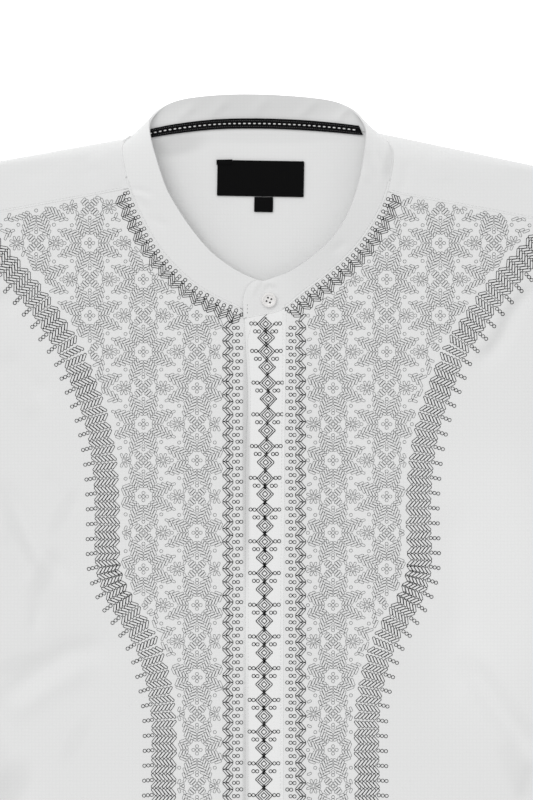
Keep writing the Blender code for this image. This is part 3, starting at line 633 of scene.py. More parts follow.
def addFinish(tree, given, made, geometry):
    # laid on the cloth, with its finish
    sockets = {"Geometry": addDrop(tree, geometry, given), "Material": (given, "Finish")}
    setSockets(tree, made, {"Geometry": (addNode(tree, "GeometryNodeSetMaterial", sockets), "Geometry")})
    return tree


def newThreadTree(name, *inputs):
    usual = [("Geometry", "Geometry", None), ("Cloth", "Object", None), ("Finish", "Material", None)]
    thread = ("Thread", "Float", 0.4 * mm)
    return newTree("GeometryNodeTree", name, [*usual, thread, *inputs], [("Geometry", "Geometry")])


def makeThreadTree():
    # Points with "turn", "reach" and "round" become flat loops of thread, long or round.
    tree, given, made = newThreadTree(
        "threadLoops",
        ("Sides", "Int", 3),
        ("Bar Width", "Float", 1.5 * mm),
        ("Ring Size", "Float", 2.1 * mm),
        ("Unevenness", "Float", 0.05),
        ("Seed", "Int", 3),
    )

    def circle(corners, across):
        sockets = {"Resolution": corners, "Radius": mathNode(tree, "MULTIPLY", across, 0.5)}
        return (addNode(tree, "GeometryNodeCurvePrimitiveCircle", sockets, mode="RADIUS"), "Curve")

    points, facing = addUnevenTurn(tree, given)
    profile = circle((given, "Sides"), (given, "Thread"))
    joined = addNode(tree, "GeometryNodeJoinGeometry")
    isRound = namedValue(tree, "round", "BOOLEAN")
    notRound = (addNode(tree, "FunctionNodeBooleanMath", {0: isRound}, operation="NOT"), 0)
    for label, chosen, corners in (("Bar Width", notRound, 8), ("Ring Size", isRound, 7)):
        sockets = {"Geometry": circle(corners, (given, label)), "Rotation": (0.0, 0.0, math.pi / 8)}
        spun = addNode(tree, "GeometryNodeTransform", sockets)
        solid = addNode(tree, "GeometryNodeCurveToMesh", {"Curve": (spun, "Geometry"), "Profile Curve": profile})
        # which end of the bar a point is on
        axes = addNode(tree, "ShaderNodeSeparateXYZ", {0: (addNode(tree, "GeometryNodeInputPosition"), 0)})
        loop = storedValue(tree, "end", (solid, "Mesh"), mathNode(tree, "SIGN", (axes, 0)))
        sockets = {"Points": points, "Instance": loop, "Selection": chosen, "Rotation": facing}
        placed = addNode(tree, "GeometryNodeInstanceOnPoints", sockets)
        setSockets(tree, joined, {"Geometry": (placed, "Instances")})
    real = addNode(tree, "GeometryNodeRealizeInstances", {"Geometry": (joined, "Geometry")})
    # pull a bar's two ends apart along its own direction
    half = mathNode(tree, "MULTIPLY", mathNode(tree, "SUBTRACT", namedValue(tree, "reach"), (given, "Bar Width")), 0.5)
    reach = mathNode(tree, "MULTIPLY", mathNode(tree, "MAXIMUM", half, 0.0), namedValue(tree, "end"))
    turned = [mathNode(tree, wave, namedValue(tree, "turn")) for wave in ("COSINE", "SINE")]
    ways = {axis: mathNode(tree, "MULTIPLY", reach, turned[axis]) for axis in (0, 1)}
    along = addNode(tree, "ShaderNodeCombineXYZ", ways)
    longer = addNode(tree, "GeometryNodeSetPosition", {"Geometry": (real, "Geometry"), "Offset": (along, 0)})
    return addFinish(tree, given, made, (longer, "Geometry"))


def makeStitchTree():
    # Points with "turn" and "reach" become short sewing stitches, half sunk in the cloth.
    tree, given, made = newThreadTree("sewingStitches", ("Unevenness", "Float", 0.04), ("Seed", "Int", 5))
    points, facing = addUnevenTurn(tree, given)
    sockets = {"Segments": 6, "Rings": 4, "Radius": mathNode(tree, "MULTIPLY", (given, "Thread"), 0.5)}
    stitch = addNode(tree, "GeometryNodeMeshUVSphere", sockets)
    long = mathNode(tree, "DIVIDE", namedValue(tree, "reach"), (given, "Thread"))
    size = addNode(tree, "ShaderNodeCombineXYZ", {0: long, 1: 1.0, 2: 0.7})
    sockets = {"Points": points, "Instance": (stitch, "Mesh"), "Rotation": facing, "Scale": (size, 0)}
    placed = addNode(tree, "GeometryNodeInstanceOnPoints", sockets)
    real = addNode(tree, "GeometryNodeRealizeInstances", {"Geometry": (placed, "Instances")})
    return addFinish(tree, given, made, (real, "Geometry"))


threadTree = makeThreadTree()
stitchTree = makeStitchTree()

# Each thread: its colour, sheen and specular.
threadLooks = {
    "dark": ((0.010, 0.011, 0.012), 0.02, 0.15),
    "pale": ((0.085, 0.090, 0.092), 0.02, 0.18),
    "white": ((0.78, 0.78, 0.775), 0.15, 0.35),
    "black": ((0.006, 0.006, 0.007), 0.0, 0.08),
    "grey": ((0.16, 0.16, 0.165), 0.0, 0.15),
}


def makeThreadLook(name, colour, sheen, specular):
    gloss = {"Roughness": 0.55, "Specular IOR Level": specular, "Sheen Weight": sheen, "Sheen Roughness": 0.4}
    material, tree, shader = newMaterial(name, gloss)
    place = objectPlace(tree)
    low, high = [0.72 * c for c in colour], [min(1.28 * c, 0.86) for c in colour]
    tone = mixNode(tree, low, high, noiseNode(tree, place, 60.0, 2.0))
    sockets = {"Scale": 1600.0, "Distortion": 1.0, "Vector": place}
    twist = addNode(tree, "ShaderNodeTexWave", sockets, wave_type="BANDS", bands_direction="DIAGONAL")
    setSockets(tree, shader, {"Base Color": tone, "Normal": bumpNode(tree, (twist, "Fac"), 0.05, 0.5)})
    return material


threads = {name: makeThreadLook("thread_" + name, *look) for name, look in threadLooks.items()}


# Paths on the cloth: points in mm, walked by length. across is to the walker's right.
class Path:
    def __init__(self, corners, smoothSteps=12):
        corners = np.array(corners, float)
        slope = np.gradient(corners, axis=0)
        fine = []
        for i in range(len(corners) - 1):
            for k in range(smoothSteps):
                t = k / smoothSteps
                fine.append(
                    (2 * t**3 - 3 * t**2 + 1) * corners[i]
                    + (t**3 - 2 * t**2 + t) * slope[i]
                    + (3 * t**2 - 2 * t**3) * corners[i + 1]
                    + (t**3 - t**2) * slope[i + 1]
                )
        fine.append(corners[-1])
        self.points = np.array(fine)
        steps = np.linalg.norm(np.diff(self.points, axis=0), axis=1)
        self.walked = np.concatenate([[0.0], np.cumsum(steps)])
        self.length = float(self.walked[-1])

    def at(self, distance):
        x = np.interp(distance, self.walked, self.points[:, 0])
        y = np.interp(distance, self.walked, self.points[:, 1])
        return np.array((x, y))

    def way(self, distance, step=3.0):
        ahead, behind = self.at(distance + step), self.at(distance - step)
        gap = ahead - behind
        return gap / np.linalg.norm(gap)

    def place(self, distance, across):
        way = self.way(distance)
        return self.at(distance) + across * np.array((way[1], -way[0]))

    def angle(self, distance):
        way = self.way(distance)
        return math.atan2(way[1], way[0])

    def nearest(self, x, y):
        # distance off the path, to the right above 0, and how far along
        gaps = self.points - np.array((x, y))
        k = int(np.argmin(np.sum(gaps**2, axis=1)))
        way = self.way(self.walked[k])
        away = np.array((x, y)) - self.points[k]
        off = away[0] * way[1] - away[1] * way[0]
        return math.copysign(float(np.linalg.norm(away)), off), float(self.walked[k])


class Stitches:
    # bars, rings, lines and plain stitches, as places in mm
    def __init__(self, allowed=lambda x, y: True):
        self.rows = []
        self.allowed = allowed

    def bar(self, x, y, turn, length):
        dx, dy = math.cos(turn) * length / 2, math.sin(turn) * length / 2
        spots = [(x, y), (x + dx, y + dy), (x - dx, y - dy)]
        if all(self.allowed(*spot) for spot in spots):
            self.rows.append((x, y, turn, length, False))

    def line(self, x0, y0, x1, y1):
        self.bar((x0 + x1) / 2, (y0 + y1) / 2, math.atan2(y1 - y0, x1 - x0), math.hypot(x1 - x0, y1 - y0))

    def ring(self, x, y):
        corners = [(dx, dy) for dx in (0.7, -0.7) for dy in (0.7, -0.7)]
        if self.allowed(x, y) and all(self.allowed(x + dx, y + dy) for dx, dy in corners):
            self.rows.append((x, y, 0.0, 0.0, True))

    def run(self, path, length, gap, across=0.0, start=0.5, end=0.5):
        # plain stitches one after another along a path
        distance = start
        while distance + length <= path.length - end:
            x, y = path.place(distance + length / 2, across)
            if self.allowed(x, y):
                self.rows.append((x, y, path.angle(distance + length / 2), length, False))
            distance += length + gap

    def sew(self, name, slotName, look, tree=None, **values):
        mesh = bpy.data.meshes.new(name + "Points")
        mesh.from_pydata([(x * mm, y * mm, 0.0) for x, y, *_ in self.rows], [], [])
        columns = (("turn", "FLOAT", 2, 1.0), ("reach", "FLOAT", 3, mm), ("round", "BOOLEAN", 4, 1))
        for label, kind, column, scale in columns:
            held = mesh.attributes.new(label, kind, "POINT")
            held.data.foreach_set("value", [row[column] * scale for row in self.rows])
        made = runTree(tree or threadTree, mesh, name, {"Cloth": wholeCloth, "Finish": threads[look], **values})
        made.shade_smooth()
        addPiece(name, made)
        print("thread laid:", name, len(self.rows), "places", len(made.polygons), "faces")


# The embroidery's borders. Sizes in mm, paths from the top down; the right side in the picture mirrors the left.
outerBorder = {
    "path": [
        (228, 318), (212, 297), (196, 278), (178, 258), (165, 242), (155, 227), (144, 210), (137, 192), (130, 173),
        (125.5, 155), (122.5, 135), (121, 106), (121.5, 76), (119.5, 59), (113, 42), (102, 24), (93, 7), (87, -14),
        (84, -34), (83.5, -54), (84, -90), (84, -160), (84, -240), (84, -320), (84, -386),
    ],
    "period": 10.3,
    "stripes": 6,
    "firstStripe": 7.25,
    "stripeGap": 2.55,
    "barLength": 5.7,
    "lean": 40.0,
    "knobs": (0.2, 2.85, 5.5),
    "knobRise": 0.25,
    "width": 23.2,
    "moved": ((-60, 0.2), (30, 0.0), (60, -0.8), (100, -1.6), (180, -1.4), (250, -1.4), (318, -1.0)),
}
innerBorder = {
    "left": -16.4,
    "right": 15.3,
    "top": 247.4,
    "bottom": -388.0,
    "period": 9.24,
    "ringsOut": (0.05, 2.7),
    "ringsIn": (2.35, 5.05),
    "ringRise": 0.1,
    "firstStripe": 8.1,
    "stripeGap": 2.35,
    "stripes": 2,
    "barLength": 6.3,
    "lean": 42.0,
    "width": 13.0,
}
neckBorder = {
    "left": [
        (-14, 245.6), (-32.4, 253.6), (-53.1, 266.7), (-73.8, 288.8), (-87.6, 313.9), (-93.8, 329.5), (-96.2, 336.5),
    ],
    "right": [(13.4, 247.0), (24.2, 256.0), (44.9, 272.2), (62.1, 288.4), (76.6, 309.1), (84.4, 327.6), (87.2, 334.5)],
    "period": 9.0,
    "ringsOut": (1.5, 3.7),
    "ringsIn": (2.3, 4.5),
    "firstStripe": 5.9,
    "stripeGap": 1.9,
    "stripes": 3,
    "barLength": 5.4,
    "lean": 42.0,
    "width": 11.4,
}
diamondColumn = {
    "middle": [
        (240, 0.3), (236, 0.4), (217, 1.0), (185, 2.3), (160, 1.2), (131, 0.1), (60, -0.4), (-44, -0.8), (-395, -0.8),
    ],
    "first": 217.3,
    "period": 21.9,
    "topOne": 236.2,
    "last": -390.0,
    # lines of one side of a diamond: half width on the middle line, and how far each end goes past the corner
    "lines": ((1.95, 0.0, 0.1), (4.05, 0.1, 0.4), (5.85, -0.3, 1.0)),
    "capReach": 0.9,
    "armRings": (7.25, 9.9),
    "lowArmRings": (4.6, 7.25),
    "lowArm": 5.35,
}


def movedBorder(side):
    # the upper part of both borders lies a little to the picture's left of the middle
    levels, moves = zip(*outerBorder["moved"])
    sign = -1.0 if side == "left" else 1.0
    return Path([(sign * x + float(np.interp(y, levels, moves)), y) for x, y in outerBorder["path"]])


outerPaths = {side: movedBorder(side) for side in ("left", "right")}
neckPaths = {side: Path(neckBorder[side]) for side in ("left", "right")}
fronts = ("rightFrontCloth", "leftFrontCloth")


def frontOnly(margin):
    spots = ((0, 0), (margin, 0), (-margin, 0), (0, margin))
    return lambda x, y: all(topPiece(x + dx, y + dy)[0] in fronts for dx, dy in spots)


def besideSeam(x, y):
    # the innermost rings lie across the placket's seam
    return topPiece(x, y)[0] in (*fronts, "placketCloth")


def placketOnly(x, y):
    return topPiece(x, y)[0] == "placketCloth"


neckClear = 0.6  # what the borders beside the placket keep free of the neck's own, in mm


def offNeck(x, y):
    return abs(neckPaths["left" if x < 0 else "right"].nearest(x, y)[0])


def clearOfNeck(x, y):
    return offNeck(x, y) > neckBorder["width"] + neckClear


def zigzag(stitches, path, sign, plan, wanted=None):
    # rows of leaning bars, turned the other way in every second row, in stripes side by side
    half = plan["period"] / 2
    for row in range(int(path.length / half)):
        distance = (row + 0.5) * half
        lean = math.radians(plan["lean"]) * (1 if row % 2 else -1) * sign
        for stripe in range(plan["stripes"]):
            x, y = path.place(distance, sign * (plan["firstStripe"] + stripe * plan["stripeGap"]))
            if wanted is None or wanted(x, y):
                stitches.bar(x, y, path.angle(distance) + lean, plan["barLength"])


def ringPairs(stitches, path, sign, plan, wanted=None):
    half = plan["period"] / 2
    for row in range(int(path.length / half)):
        for k, across in enumerate(plan["ringsIn"] if row % 2 else plan["ringsOut"]):
            x, y = path.place(row * half + k * plan["ringRise"], sign * across)
            if wanted is None or wanted(x, y):
                stitches.ring(x, y)


def sewOuterBorder(side):
    # inside is to the left of someone who walks down the picture's left border
    sign = -1.0 if side == "left" else 1.0
    path, plan = outerPaths[side], outerBorder
    stitches = Stitches(frontOnly(0.8))
    zigzag(stitches, path, sign, plan)
    for row in range(int(path.length / plan["period"])):
        for k, across in enumerate(plan["knobs"]):
            stitches.ring(*path.place((row + 0.5) * plan["period"] - k * plan["knobRise"], sign * across))
    return stitches


def sewInnerBorders():
    # beside the placket, and on up the neck seam, with the rings towards the placket and the band
    stitches = Stitches(besideSeam)
    for side, sign in (("left", 1.0), ("right", -1.0)):
        seam = neckPaths[side]
        neckLine = Path([seam.place(d, 0.0) for d in np.linspace(1.0, seam.length - 1.0, 14)])
        x, top, bottom = innerBorder[side], innerBorder["top"], innerBorder["bottom"]
        straight = Path([(x, top), (x, 0.0), (x, bottom)])
        for sewn in (zigzag, ringPairs):
            sewn(stitches, straight, sign, innerBorder, clearOfNeck)
        for sewn in (zigzag, ringPairs):
            sewn(stitches, neckLine, -sign, {**innerBorder, **neckBorder})
    return stitches


def columnMiddle(y):
    levels, middles = zip(*diamondColumn["middle"][::-1])
    return float(np.interp(y, levels, middles))


def sewColumn():
    stitches = Stitches(placketOnly)
    plan = diamondColumn

    def diamond(x, y):
        for half, pastSide, pastWaist in plan["lines"]:
            for sx in (1, -1):
                for sy in (1, -1):
                    sideX, sideY = x + sx * (half + pastSide), y - sy * pastSide
                    stitches.line(sideX, sideY, x - sx * pastWaist, y + sy * (half + pastWaist))
        # the outer loops are closed at the diamond's sides
        for sx in (1, -1):
            side = x + sx * (plan["lines"][2][0] - 0.25)
            stitches.line(side, y - plan["capReach"] / 2, side, y + plan["capReach"] / 2)

    tall = [plan["topOne"]]
    y = plan["first"]
    while y > plan["last"]:
        tall.append(y)
        y -= plan["period"]
    for k, y in enumerate(tall):
        gap = (y - tall[k + 1]) if k + 1 < len(tall) else plan["period"]
        x = columnMiddle(y)
        diamond(x, y)
        diamond(columnMiddle(y - gap / 2), y - gap / 2)
        for level, rings in ((y, plan["armRings"]), (y - plan["lowArm"], plan["lowArmRings"])):
            for sx in (1, -1):
                for across in rings:
                    stitches.ring(x + sx * across, level + 0.03 * across)
    return stitches


# The field between the borders: a plain repeat of eight-pointed stars, charted for this shirt, half a step down
# in every second column, with small diamonds and flowers between.
starField = {
    "columns": 37.0,
    "rows": 50.0,
    "start": (-47.0, 292.0),
    # bars that lean back off each point's middle: where they meet on it, in mm from the star's centre, and their length
    "chevrons": ((8.0, 2.8), (10.6, 3.9), (13.2, 5.0), (15.8, 5.6), (18.4, 4.9), (21.0, 3.7)),
    "chevronLean": 45.0,
    "chevronApart": 0.75,
    "tip": (22.3, 3.2),
    "knot": 2.5,
    "chains": (17.4,),
    "smallDiamond": ((2.3, 3.4), (4.2, 5.2), (6.1, 4.4)),
    "smallEnds": (9.6,),
    "flowerBars": (3.4, 3.4),
    "flowerAside": 13.6,
    "clear": 0.3,
}


def around(x, y, turn, far):
    return x + far * math.cos(turn), y + far * math.sin(turn)


def sewStar(stitches, x, y):
    plan = starField
    stitches.ring(x, y)
    lean = math.radians(plan["chevronLean"])
    for k in range(8):
        turn = math.radians(45.0 * k)
        if k % 2 == 0:
            stitches.ring(*around(x, y, turn, plan["knot"]))
        for far in plan["chains"]:
            stitches.ring(*around(x, y, turn, far))
        turn += math.radians(22.5)
        wayX, wayY = math.cos(turn), math.sin(turn)
        for far, length in plan["chevrons"]:
            along = far - math.cos(lean) * length / 2
            aside = plan["chevronApart"] + math.sin(lean) * length / 2 - 0.4
            for sign in (1, -1):
                cx, cy = x + along * wayX - sign * aside * wayY, y + along * wayY + sign * aside * wayX
                stitches.bar(cx, cy, turn - sign * lean, length)
        far, length = plan["tip"]
        stitches.bar(*around(x, y, turn, far), turn, length)


def sewDiamond(stitches, x, y):
    # bars laid round a ring in diamonds, one in another
    stitches.ring(x, y)
    for k in range(4):
        turn = math.radians(45.0 + 90.0 * k)
        for far, length in starField["smallDiamond"]:
            stitches.bar(*around(x, y, turn, far), turn + math.pi / 2, length)
        turn += math.pi / 4
        for far in starField["smallEnds"]:
            stitches.ring(*around(x, y, turn, far))


def sewFlower(stitches, x, y):
    far, length = starField["flowerBars"]
    stitches.ring(x, y)
    for k in range(8):
        turn = math.radians(22.5 + 45.0 * k)
        stitches.bar(*around(x, y, turn, far), turn, length)


def sewField(side):
    plan = starField
    onFront = frontOnly(0.4)
    line, border = innerBorder[side], outerPaths[side]
    sign = 1.0 if side == "left" else -1.0

    def allowed(x, y):
        if abs(x - line) < innerBorder["width"] + plan["clear"] or sign * (x - line) > 0:
            return False
        if offNeck(x, y) < neckBorder["width"] + plan["clear"]:
            return False
        off, along = border.nearest(x, y)
        if -sign * off < outerBorder["width"] + plan["clear"] or not 1.0 < along < border.length - 1.0:
            return False
        return onFront(x, y)

    stitches = Stitches(allowed)
    for column in range(-1, 6):
        for row in range(-1, 18):
            x = sign * (plan["start"][0] - column * plan["columns"])
            y = plan["start"][1] - row * plan["rows"] - (plan["rows"] / 2 if column % 2 else 0.0)
            sewStar(stitches, x, y)
            sewDiamond(stitches, x, y - plan["rows"] / 2)
            for aside in (plan["flowerAside"], -plan["flowerAside"]):
                sewFlower(stitches, x + aside, y - plan["rows"] / 2)
    return stitches


# Each piece: name, its places, slot, thread, seed, thread's thickness and sides, bar width and ring size.
embroidery = [
    ("outerBorderRight", lambda: sewOuterBorder("left"), "cloth_front", "dark", 11, 0.50, 4, 1.87, 2.4),
    ("outerBorderLeft", lambda: sewOuterBorder("right"), "cloth_front", "dark", 12, 0.50, 4, 1.87, 2.4),
    ("innerBorders", sewInnerBorders, "cloth_front", "dark", 13, 0.52, 4, 1.68, 2.4),
    ("placketColumn", sewColumn, "cloth_placket", "dark", 14, 0.56, 4, 0.1, 2.4),
    ("starFieldRight", lambda: sewField("left"), "cloth_front", "pale", 15, 0.37, 3, 1.66, 2.3),
    ("starFieldLeft", lambda: sewField("right"), "cloth_front", "pale", 16, 0.37, 3, 1.66, 2.3),
]
for name, plan, slotName, look, seed, thread, sides, barWidth, ringSize in embroidery:
    sizes = {"Thread": thread * mm, "Bar Width": barWidth * mm, "Ring Size": ringSize * mm}
    plan().sew(name, slotName, look, Sides=sides, Seed=seed, **sizes)


# Seams, found on the made cloth: where the upper piece changes between two places.
def seamPoint(start, end):
    start, end = np.array(start, float), np.array(end, float)
    first = topPiece(*start)[0]
    span = float(np.linalg.norm(end - start))
    last = 0.0
    for step in range(1, int(span) + 1):
        spot = start + (end - start) * step / span
        if topPiece(*spot)[0] != first:
            low, high = last, step / span
            for _ in range(7):
                middle = (low + high) / 2
                if topPiece(*(start + (end - start) * middle))[0] == first:
                    low = middle
                else:
                    high = middle
            return tuple(start + (end - start) * low)
        last = step / span
    return None


def seamPath(rows):
    points = [seamPoint(start, end) for start, end in rows]
    return Path([p for p in points if p is not None], 6)


def outlinePath(name):
    # a piece's outline, seen from above
    box = meshColumn(pieces[name].data, "co")[:, :2] / mm
    middle = (box.min(0) + box.max(0)) / 2
    reach = float(np.linalg.norm(box.max(0) - box.min(0)))
    points = []
    for k in range(121):
        turn = 2.0 * math.pi * k / 120
        points.append(seamPoint(middle, middle + reach * np.array((math.cos(turn), math.sin(turn)))))
    return Path(points, 2)


seams = {
    "yokeRight": seamPath([((x, 270), (x, 360)) for x in np.linspace(-229, -97, 18)]),
    "yokeLeft": seamPath([((x, 270), (x, 360)) for x in np.linspace(87, 229, 18)]),
    "placketSide": seamPath([((10, y), (24, y)) for y in (245.0, 240.0, *np.linspace(235, -388, 43))]),
    "placketEdge": seamPath([((-6, y), (-24, y)) for y in np.linspace(241, -388, 44)]),
    "hemRight": seamPath([((x, -330), (x, -410)) for x in np.linspace(-262, -20, 30)]),
    "hemLeft": seamPath([((x, -330), (x, -410)) for x in np.linspace(20, 262, 30)]),
    "bandEnd": seamPath([((x, 254), (x, 236)) for x in np.linspace(-13, 12.6, 14)]),
    "collarRight": seamPath([((-86, y), (-112, y)) for y in np.linspace(337, 366, 12)]),
    "collarLeft": seamPath([((79, y), (108, y)) for y in np.linspace(335, 364, 12)]),
}
for side, sign in (("left", 1.0), ("right", -1.0)):
    line = neckPaths[side]
    rows = [(line.place(d, sign * 7.0), line.place(d, -sign * 7.0)) for d in np.linspace(0.5, line.length, 22)]
    seams["neck" + side.title()] = seamPath(rows)
for name in ("leftCuffCloth", "rightCuffCloth", "leftSlitCloth", "rightSlitCloth"):
    seams[name] = outlinePath(name)


# A narrow turned edge lies over a seam's gap.
def seamFold(name, slotName, lookName, path, width, height, across, highestStep, step=1.6):
    shares = ((-0.5, -0.35), (-0.3, 0.62), (0.0, 1.0), (0.3, 0.62), (0.5, -0.35), (0.0, -1.0))
    count = max(int(path.length / step), 2)
    points, faces = [], []
    for k in range(count + 1):
        distance = path.length * k / count
        sides = [topPiece(*path.place(distance, across + s * (width / 2 + 0.2)))[1] / mm for s in (-1, 1)]
        if abs(sides[0] - sides[1]) > highestStep:
            sides = [max(sides), max(sides)]
        for share, rise in shares:
            x, y = path.place(distance, across + share * width)
            level = sides[0] + (sides[1] - sides[0]) * (share + 0.5)
            points.append((x * mm, y * mm, (level + rise * height) * mm))
    corners = len(shares)
    for k in range(count):
        for i in range(corners):
            j = (i + 1) % corners
            faces.append((k * corners + i, k * corners + j, (k + 1) * corners + j, (k + 1) * corners + i))
    faces += [tuple(range(corners))[::-1], tuple(count * corners + i for i in range(corners))]
    mesh = bpy.data.meshes.new(name)
    mesh.from_pydata(points, [], faces)
    mesh.materials.append(looks[lookName])
    with edited(mesh) as work:
        bmesh.ops.recalc_face_normals(work, faces=work.faces)
    mesh.shade_smooth()
    addPiece(name, mesh)


# Each fold: name, slot, finish, seam, width and height, how far it lies to the walker's right, and the step between
# its two sides from which it lies level with the higher one.
seamFolds = [
    ("yokeFoldRight", "cloth_yoke", "yoke", "yokeRight", 1.2, 0.28, -0.45, 3.0),
    ("yokeFoldLeft", "cloth_yoke", "yoke", "yokeLeft", 1.2, 0.28, -0.45, 3.0),
    ("collarFoldRight", "cloth_band", "band", "collarRight", 1.3, 0.25, 0.0, 3.0),
    ("collarFoldLeft", "cloth_band", "band", "collarLeft", 1.3, 0.25, 0.0, 3.0),
    ("bandEndFold", "cloth_band", "band", "bandEnd", 1.3, 0.25, 0.0, 3.0),
    ("placketFold", "cloth_placket", "placket", "placketSide", 1.9, 0.4, 0.0, 0.4),
    ("neckFoldRight", "cloth_band", "band", "neckLeft", 1.4, 0.3, 0.1, 3.0),
    ("neckFoldLeft", "cloth_band", "band", "neckRight", 1.4, 0.3, -0.1, 3.0),
]
for name, slotName, lookName, seamName, *sizes in seamFolds:
    seamFold(name, slotName, lookName, seams[seamName], *sizes)
print("seam folds made:", len(seamFolds))

# Sewing. Sizes in mm: each run's stitch, gap and distance to the walker's right of its seam.
sewingThread = 0.36
sewing = {
    "yokeStitches": ("cloth_yoke", [("yokeRight", 2.0, 0.5, -1.6), ("yokeLeft", 2.0, 0.5, -1.6)]),
    "placketStitches": ("cloth_placket", [("placketSide", 2.1, 0.5, 1.5), ("placketEdge", 2.1, 0.5, -1.8)]),
    "bandStitches": ("cloth_band", [("neckLeft", 1.9, 0.45, 1.4), ("neckRight", 1.9, 0.45, -1.4)]),
    "hemStitches": ("cloth_front", [("hemRight", 2.2, 0.5, -7.0), ("hemLeft", 2.2, 0.5, -7.0)]),
    "cuffStitchesLeft": ("cloth_cuff", [("leftCuffCloth", 2.0, 0.5, -1.8)]),
    "cuffStitchesRight": ("cloth_cuff", [("rightCuffCloth", 2.0, 0.5, -1.8)]),
    "slitStitchesLeft": ("cloth_cuff", [("leftSlitCloth", 2.0, 0.5, -1.8)]),
    "slitStitchesRight": ("cloth_cuff", [("rightSlitCloth", 2.0, 0.5, -1.8)]),
}
for seed, (name, (slotName, runs)) in enumerate(sewing.items()):
    stitches = Stitches()
    for seamName, length, gap, across in runs:
        stitches.run(seams[seamName], length, gap, across)
    stitches.sew(name, slotName, "white", stitchTree, Thread=sewingThread * mm, Seed=40 + seed)


def makeButtonLook():
    # moulded resin: glossy, with faint milky clouds
    gloss = {"Specular IOR Level": 0.55, "Coat Weight": 0.35, "Coat Roughness": 0.12}
    material, tree, shader = newMaterial("shirtButton", gloss)
    place = objectPlace(tree)
    cloud = noiseNode(tree, place, 420.0, 3.0, Distortion=1.2)
    sockets = {
        "Base Color": mixNode(tree, (0.76, 0.745, 0.735), (0.86, 0.85, 0.84), cloud),
        "Roughness": mathNode(tree, "MULTIPLY_ADD", cloud, 0.12, 0.2),
        "Normal": bumpNode(tree, cloud, 0.02, 0.6),
    }
    setSockets(tree, shader, sockets)
    return material


# The collar button is turned in its plane, as in the picture.
buttonTurn = -42.0


def turnedButton(name, nodeName, degrees, look):
    mesh = nodes[nodeName].data.copy()
    mesh.name = name
    spots = meshColumn(mesh, "co")
    middle = (spots.min(0) + spots.max(0)) / 2
    axis = np.linalg.eigh(np.cov((spots - spots.mean(0)).T))[1][:, 0]
    axis = axis if axis[2] > 0 else -axis
    spin = Matrix.Rotation(math.radians(degrees), 4, Vector(axis))
    shift = Matrix.Translation(Vector(middle))
    mesh.transform(shift @ spin @ shift.inverted())
    mesh.materials.clear()
    mesh.materials.append(look)
    addPiece(name, mesh, nodeName)


# Woven black: the bare labels' satin and the neck tape's twill, each with its colour, pitch, turn and relief.
wovenLooks = {
    "labelSatin": ((0.0035, 0.0035, 0.0037), 0.30, 0.0, 0.03),
    "tapeTwill": ((0.0040, 0.0040, 0.0044), 0.45, 45.0, 0.05),
}


def makeWovenLook(name, colour, pitch, degrees, relief):
    material, tree, shader = newMaterial(name, {"Roughness": 0.75, "Specular IOR Level": 0.05})
    place = objectPlace(tree)
    axes = addNode(tree, "ShaderNodeSeparateXYZ", {0: turnedPlace(tree, place, degrees)})
    waves = []
    for axis, turns in ((1, 2.0), (0, 0.4)):
        waves.append(mathNode(tree, "SINE", mathNode(tree, "MULTIPLY", (axes, axis), turns * math.pi / (pitch * mm))))
    height = mathNode(tree, "MULTIPLY_ADD", waves[1], 0.35, waves[0])
    # lighter on the raised threads and darker in the grooves: painted light and shade on the weave
    low, high = [0.7 * c for c in colour], [1.4 * c for c in colour]
    tone = mixNode(tree, low, high, mathNode(tree, "MULTIPLY_ADD", height, 0.35, 0.5))
    setSockets(tree, shader, {"Base Color": tone, "Normal": bumpNode(tree, height, relief, 0.7)})
    return material


buttonLook = makeButtonLook()
woven = {name: makeWovenLook(name, *look) for name, look in wovenLooks.items()}
turnedButton("collarButton", "collar_button", buttonTurn, buttonLook)
keptNodes = {
    "cuff_button_left": buttonLook,
    "cuff_button_right": buttonLook,
    "neck_label": woven["labelSatin"],
    "size_tab": woven["labelSatin"],
    "neck_tape": woven["tapeTwill"],
}
for nodeName, look in keptNodes.items():
    for materialSlot in nodes[nodeName].material_slots:
        materialSlot.material = look
print("buttons, labels and tape finished")

# The label's turned-under top edge stands a little higher over its first 10 mm.
labelFold = {"from": (-33.6, 349.9), "to": (-22.6, 350.1), "above": (0.05, 0.4), "tall": 3.6, "rounding": 0.09}


def makeLabelFold():
    plan = labelFold
    (x0, y0), (x1, y1) = plan["from"], plan["to"]
    corners = [(x0, y0 - plan["tall"]), (x1, y1 - plan["tall"]), (x1, y1), (x0, y0)]
    label = meshColumn(nodes["neck_label"].data, "co") / mm
    top = max(z for x, y, z in label if x < -20 and y > 340)
    mesh = bpy.data.meshes.new("labelFold")
    with edited(mesh) as work:
        rings = [[work.verts.new((x * mm, y * mm, (top + z) * mm)) for x, y in corners] for z in plan["above"]]
        work.faces.new(rings[0][::-1])
        work.faces.new(rings[1])
        for i in range(4):
            j = (i + 1) % 4
            work.faces.new((rings[0][i], rings[0][j], rings[1][j], rings[1][i]))
        rounding = plan["rounding"] * mm
        bmesh.ops.bevel(work, geom=list(work.edges), offset=rounding, segments=2, affect="EDGES", profile=0.5)
    mesh.shade_smooth()
    mesh.materials.append(woven["labelSatin"])
    addPiece("labelFold", mesh)


makeLabelFold()

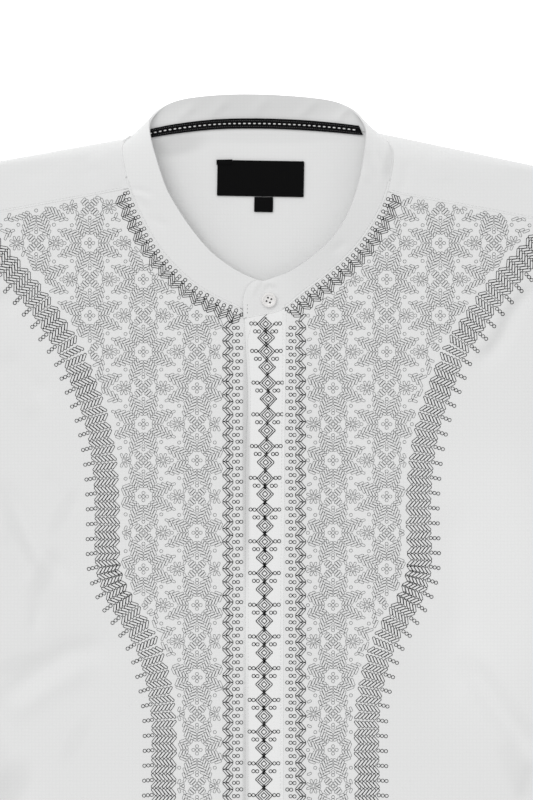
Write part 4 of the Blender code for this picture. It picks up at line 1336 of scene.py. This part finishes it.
# The tape's white dashed line and its faint dotted rows, and the label's stitches: slot, thread, its thickness, and
# each run's line, stitch, gap and distance to the right, in mm.
tapePoints = [
    (-80.9, 367.7), (-62.8, 371.1), (-34.5, 374.3), (-5.5, 374.9), (24.2, 373.9), (50.4, 371.8), (66.4, 369.9),
]
tapeLine = Path(tapePoints, 8)
labelSides = [[(-32.0, 348.6), (-32.4, 336.0), (-32.8, 326.0)], [(26.2, 347.4), (25.8, 336.0), (25.4, 324.8)]]
labelEdges = [Path(side, 2) for side in labelSides]
trimRuns = {
    "tapeDashes": ("tape", "white", 1.0, [(tapeLine, 2.3, 1.15, 0.0)]),
    "tapeDots": ("tape", "grey", 0.4, [(tapeLine, 0.5, 0.75, 2.0), (tapeLine, 0.5, 0.75, -2.0)]),
    "labelStitches": ("label", "black", 0.35, [(edge, 1.6, 0.5, 0.0) for edge in labelEdges]),
}
trimSurface = joinedSurface("trimSurface", [nodes["neck_tape"], nodes["neck_label"]])
for seed, (name, (slotName, look, thread, runs)) in enumerate(trimRuns.items()):
    stitches = Stitches()
    for run in runs:
        stitches.run(*run)
    stitches.sew(name, slotName, look, stitchTree, Cloth=trimSurface, Thread=thread * mm, Seed=60 + seed)
bpy.data.objects.remove(trimSurface)

# Thread in the collar button's holes, in dark grey: thread, and painted shade in the holes.
holes = {"x": 2.7, "y": 252.6, "reach": 1.81, "first": 65.0, "thread": 1.3}
holeStitches = Stitches()
for k in range(4):
    turn = math.radians(holes["first"] + buttonTurn + 90.0 * k)
    holeStitches.bar(*around(holes["x"], holes["y"], turn, holes["reach"]), turn, holes["thread"])
holeStitches.sew("buttonSewing", "button", "grey", stitchTree, Thread=holes["thread"] * mm, Seed=71)

# Three small stitches on the band's end.
bandEnd = {"x": -12.2, "rows": (249.2, 246.6, 244.0), "length": 1.3, "thread": 0.35}
endStitches = Stitches()
for y in bandEnd["rows"]:
    endStitches.bar(bandEnd["x"], y, math.pi / 2, bandEnd["length"])
endStitches.sew("bandEndStitches", "cloth_band", "grey", stitchTree, Thread=bandEnd["thread"] * mm, Seed=70)
bpy.data.objects.remove(wholeCloth)
# Floor and light.
stageSettings = {"size": 40.0, "sun": 1.3, "sunSoftness": 55.0, "sunTilt": (-18.0, -13.0), "sky": 0.6, "floorGlow": 0.6}


def makeStage():
    mesh = bpy.data.meshes.new("floor")
    half = stageSettings["size"] / 2
    mesh.from_pydata([(-half, -half, 0), (half, -half, 0), (half, half, 0), (-half, half, 0)], [], [(0, 1, 2, 3)])
    floor = addObject("floor", mesh)
    floor.location.z = -0.2 * mm
    white = (1.0, 1.0, 1.0, 1.0)
    paper = {
        "Base Color": (0.9, 0.9, 0.9, 1.0),
        "Roughness": 0.9,
        "Specular IOR Level": 0.1,
        "Emission Color": white,
        "Emission Strength": stageSettings["floorGlow"],
    }
    mesh.materials.append(newMaterial("floorPaper", paper)[0])
    sunData = bpy.data.lights.new("softBox", "SUN")
    sunData.energy = stageSettings["sun"]
    sunData.angle = math.radians(stageSettings["sunSoftness"])
    tiltX, tiltY = stageSettings["sunTilt"]
    addObject("softBox", sunData).rotation_euler = (math.radians(tiltX), math.radians(tiltY), 0.0)
    world = bpy.data.worlds.new("studio")
    world.use_nodes = True
    backdrop = world.node_tree.nodes["Background"]
    setSockets(world.node_tree, backdrop, {"Color": white, "Strength": stageSettings["sky"]})
    bpy.context.scene.world = world
    bpy.context.scene.view_settings.view_transform = "Standard"


makeStage()
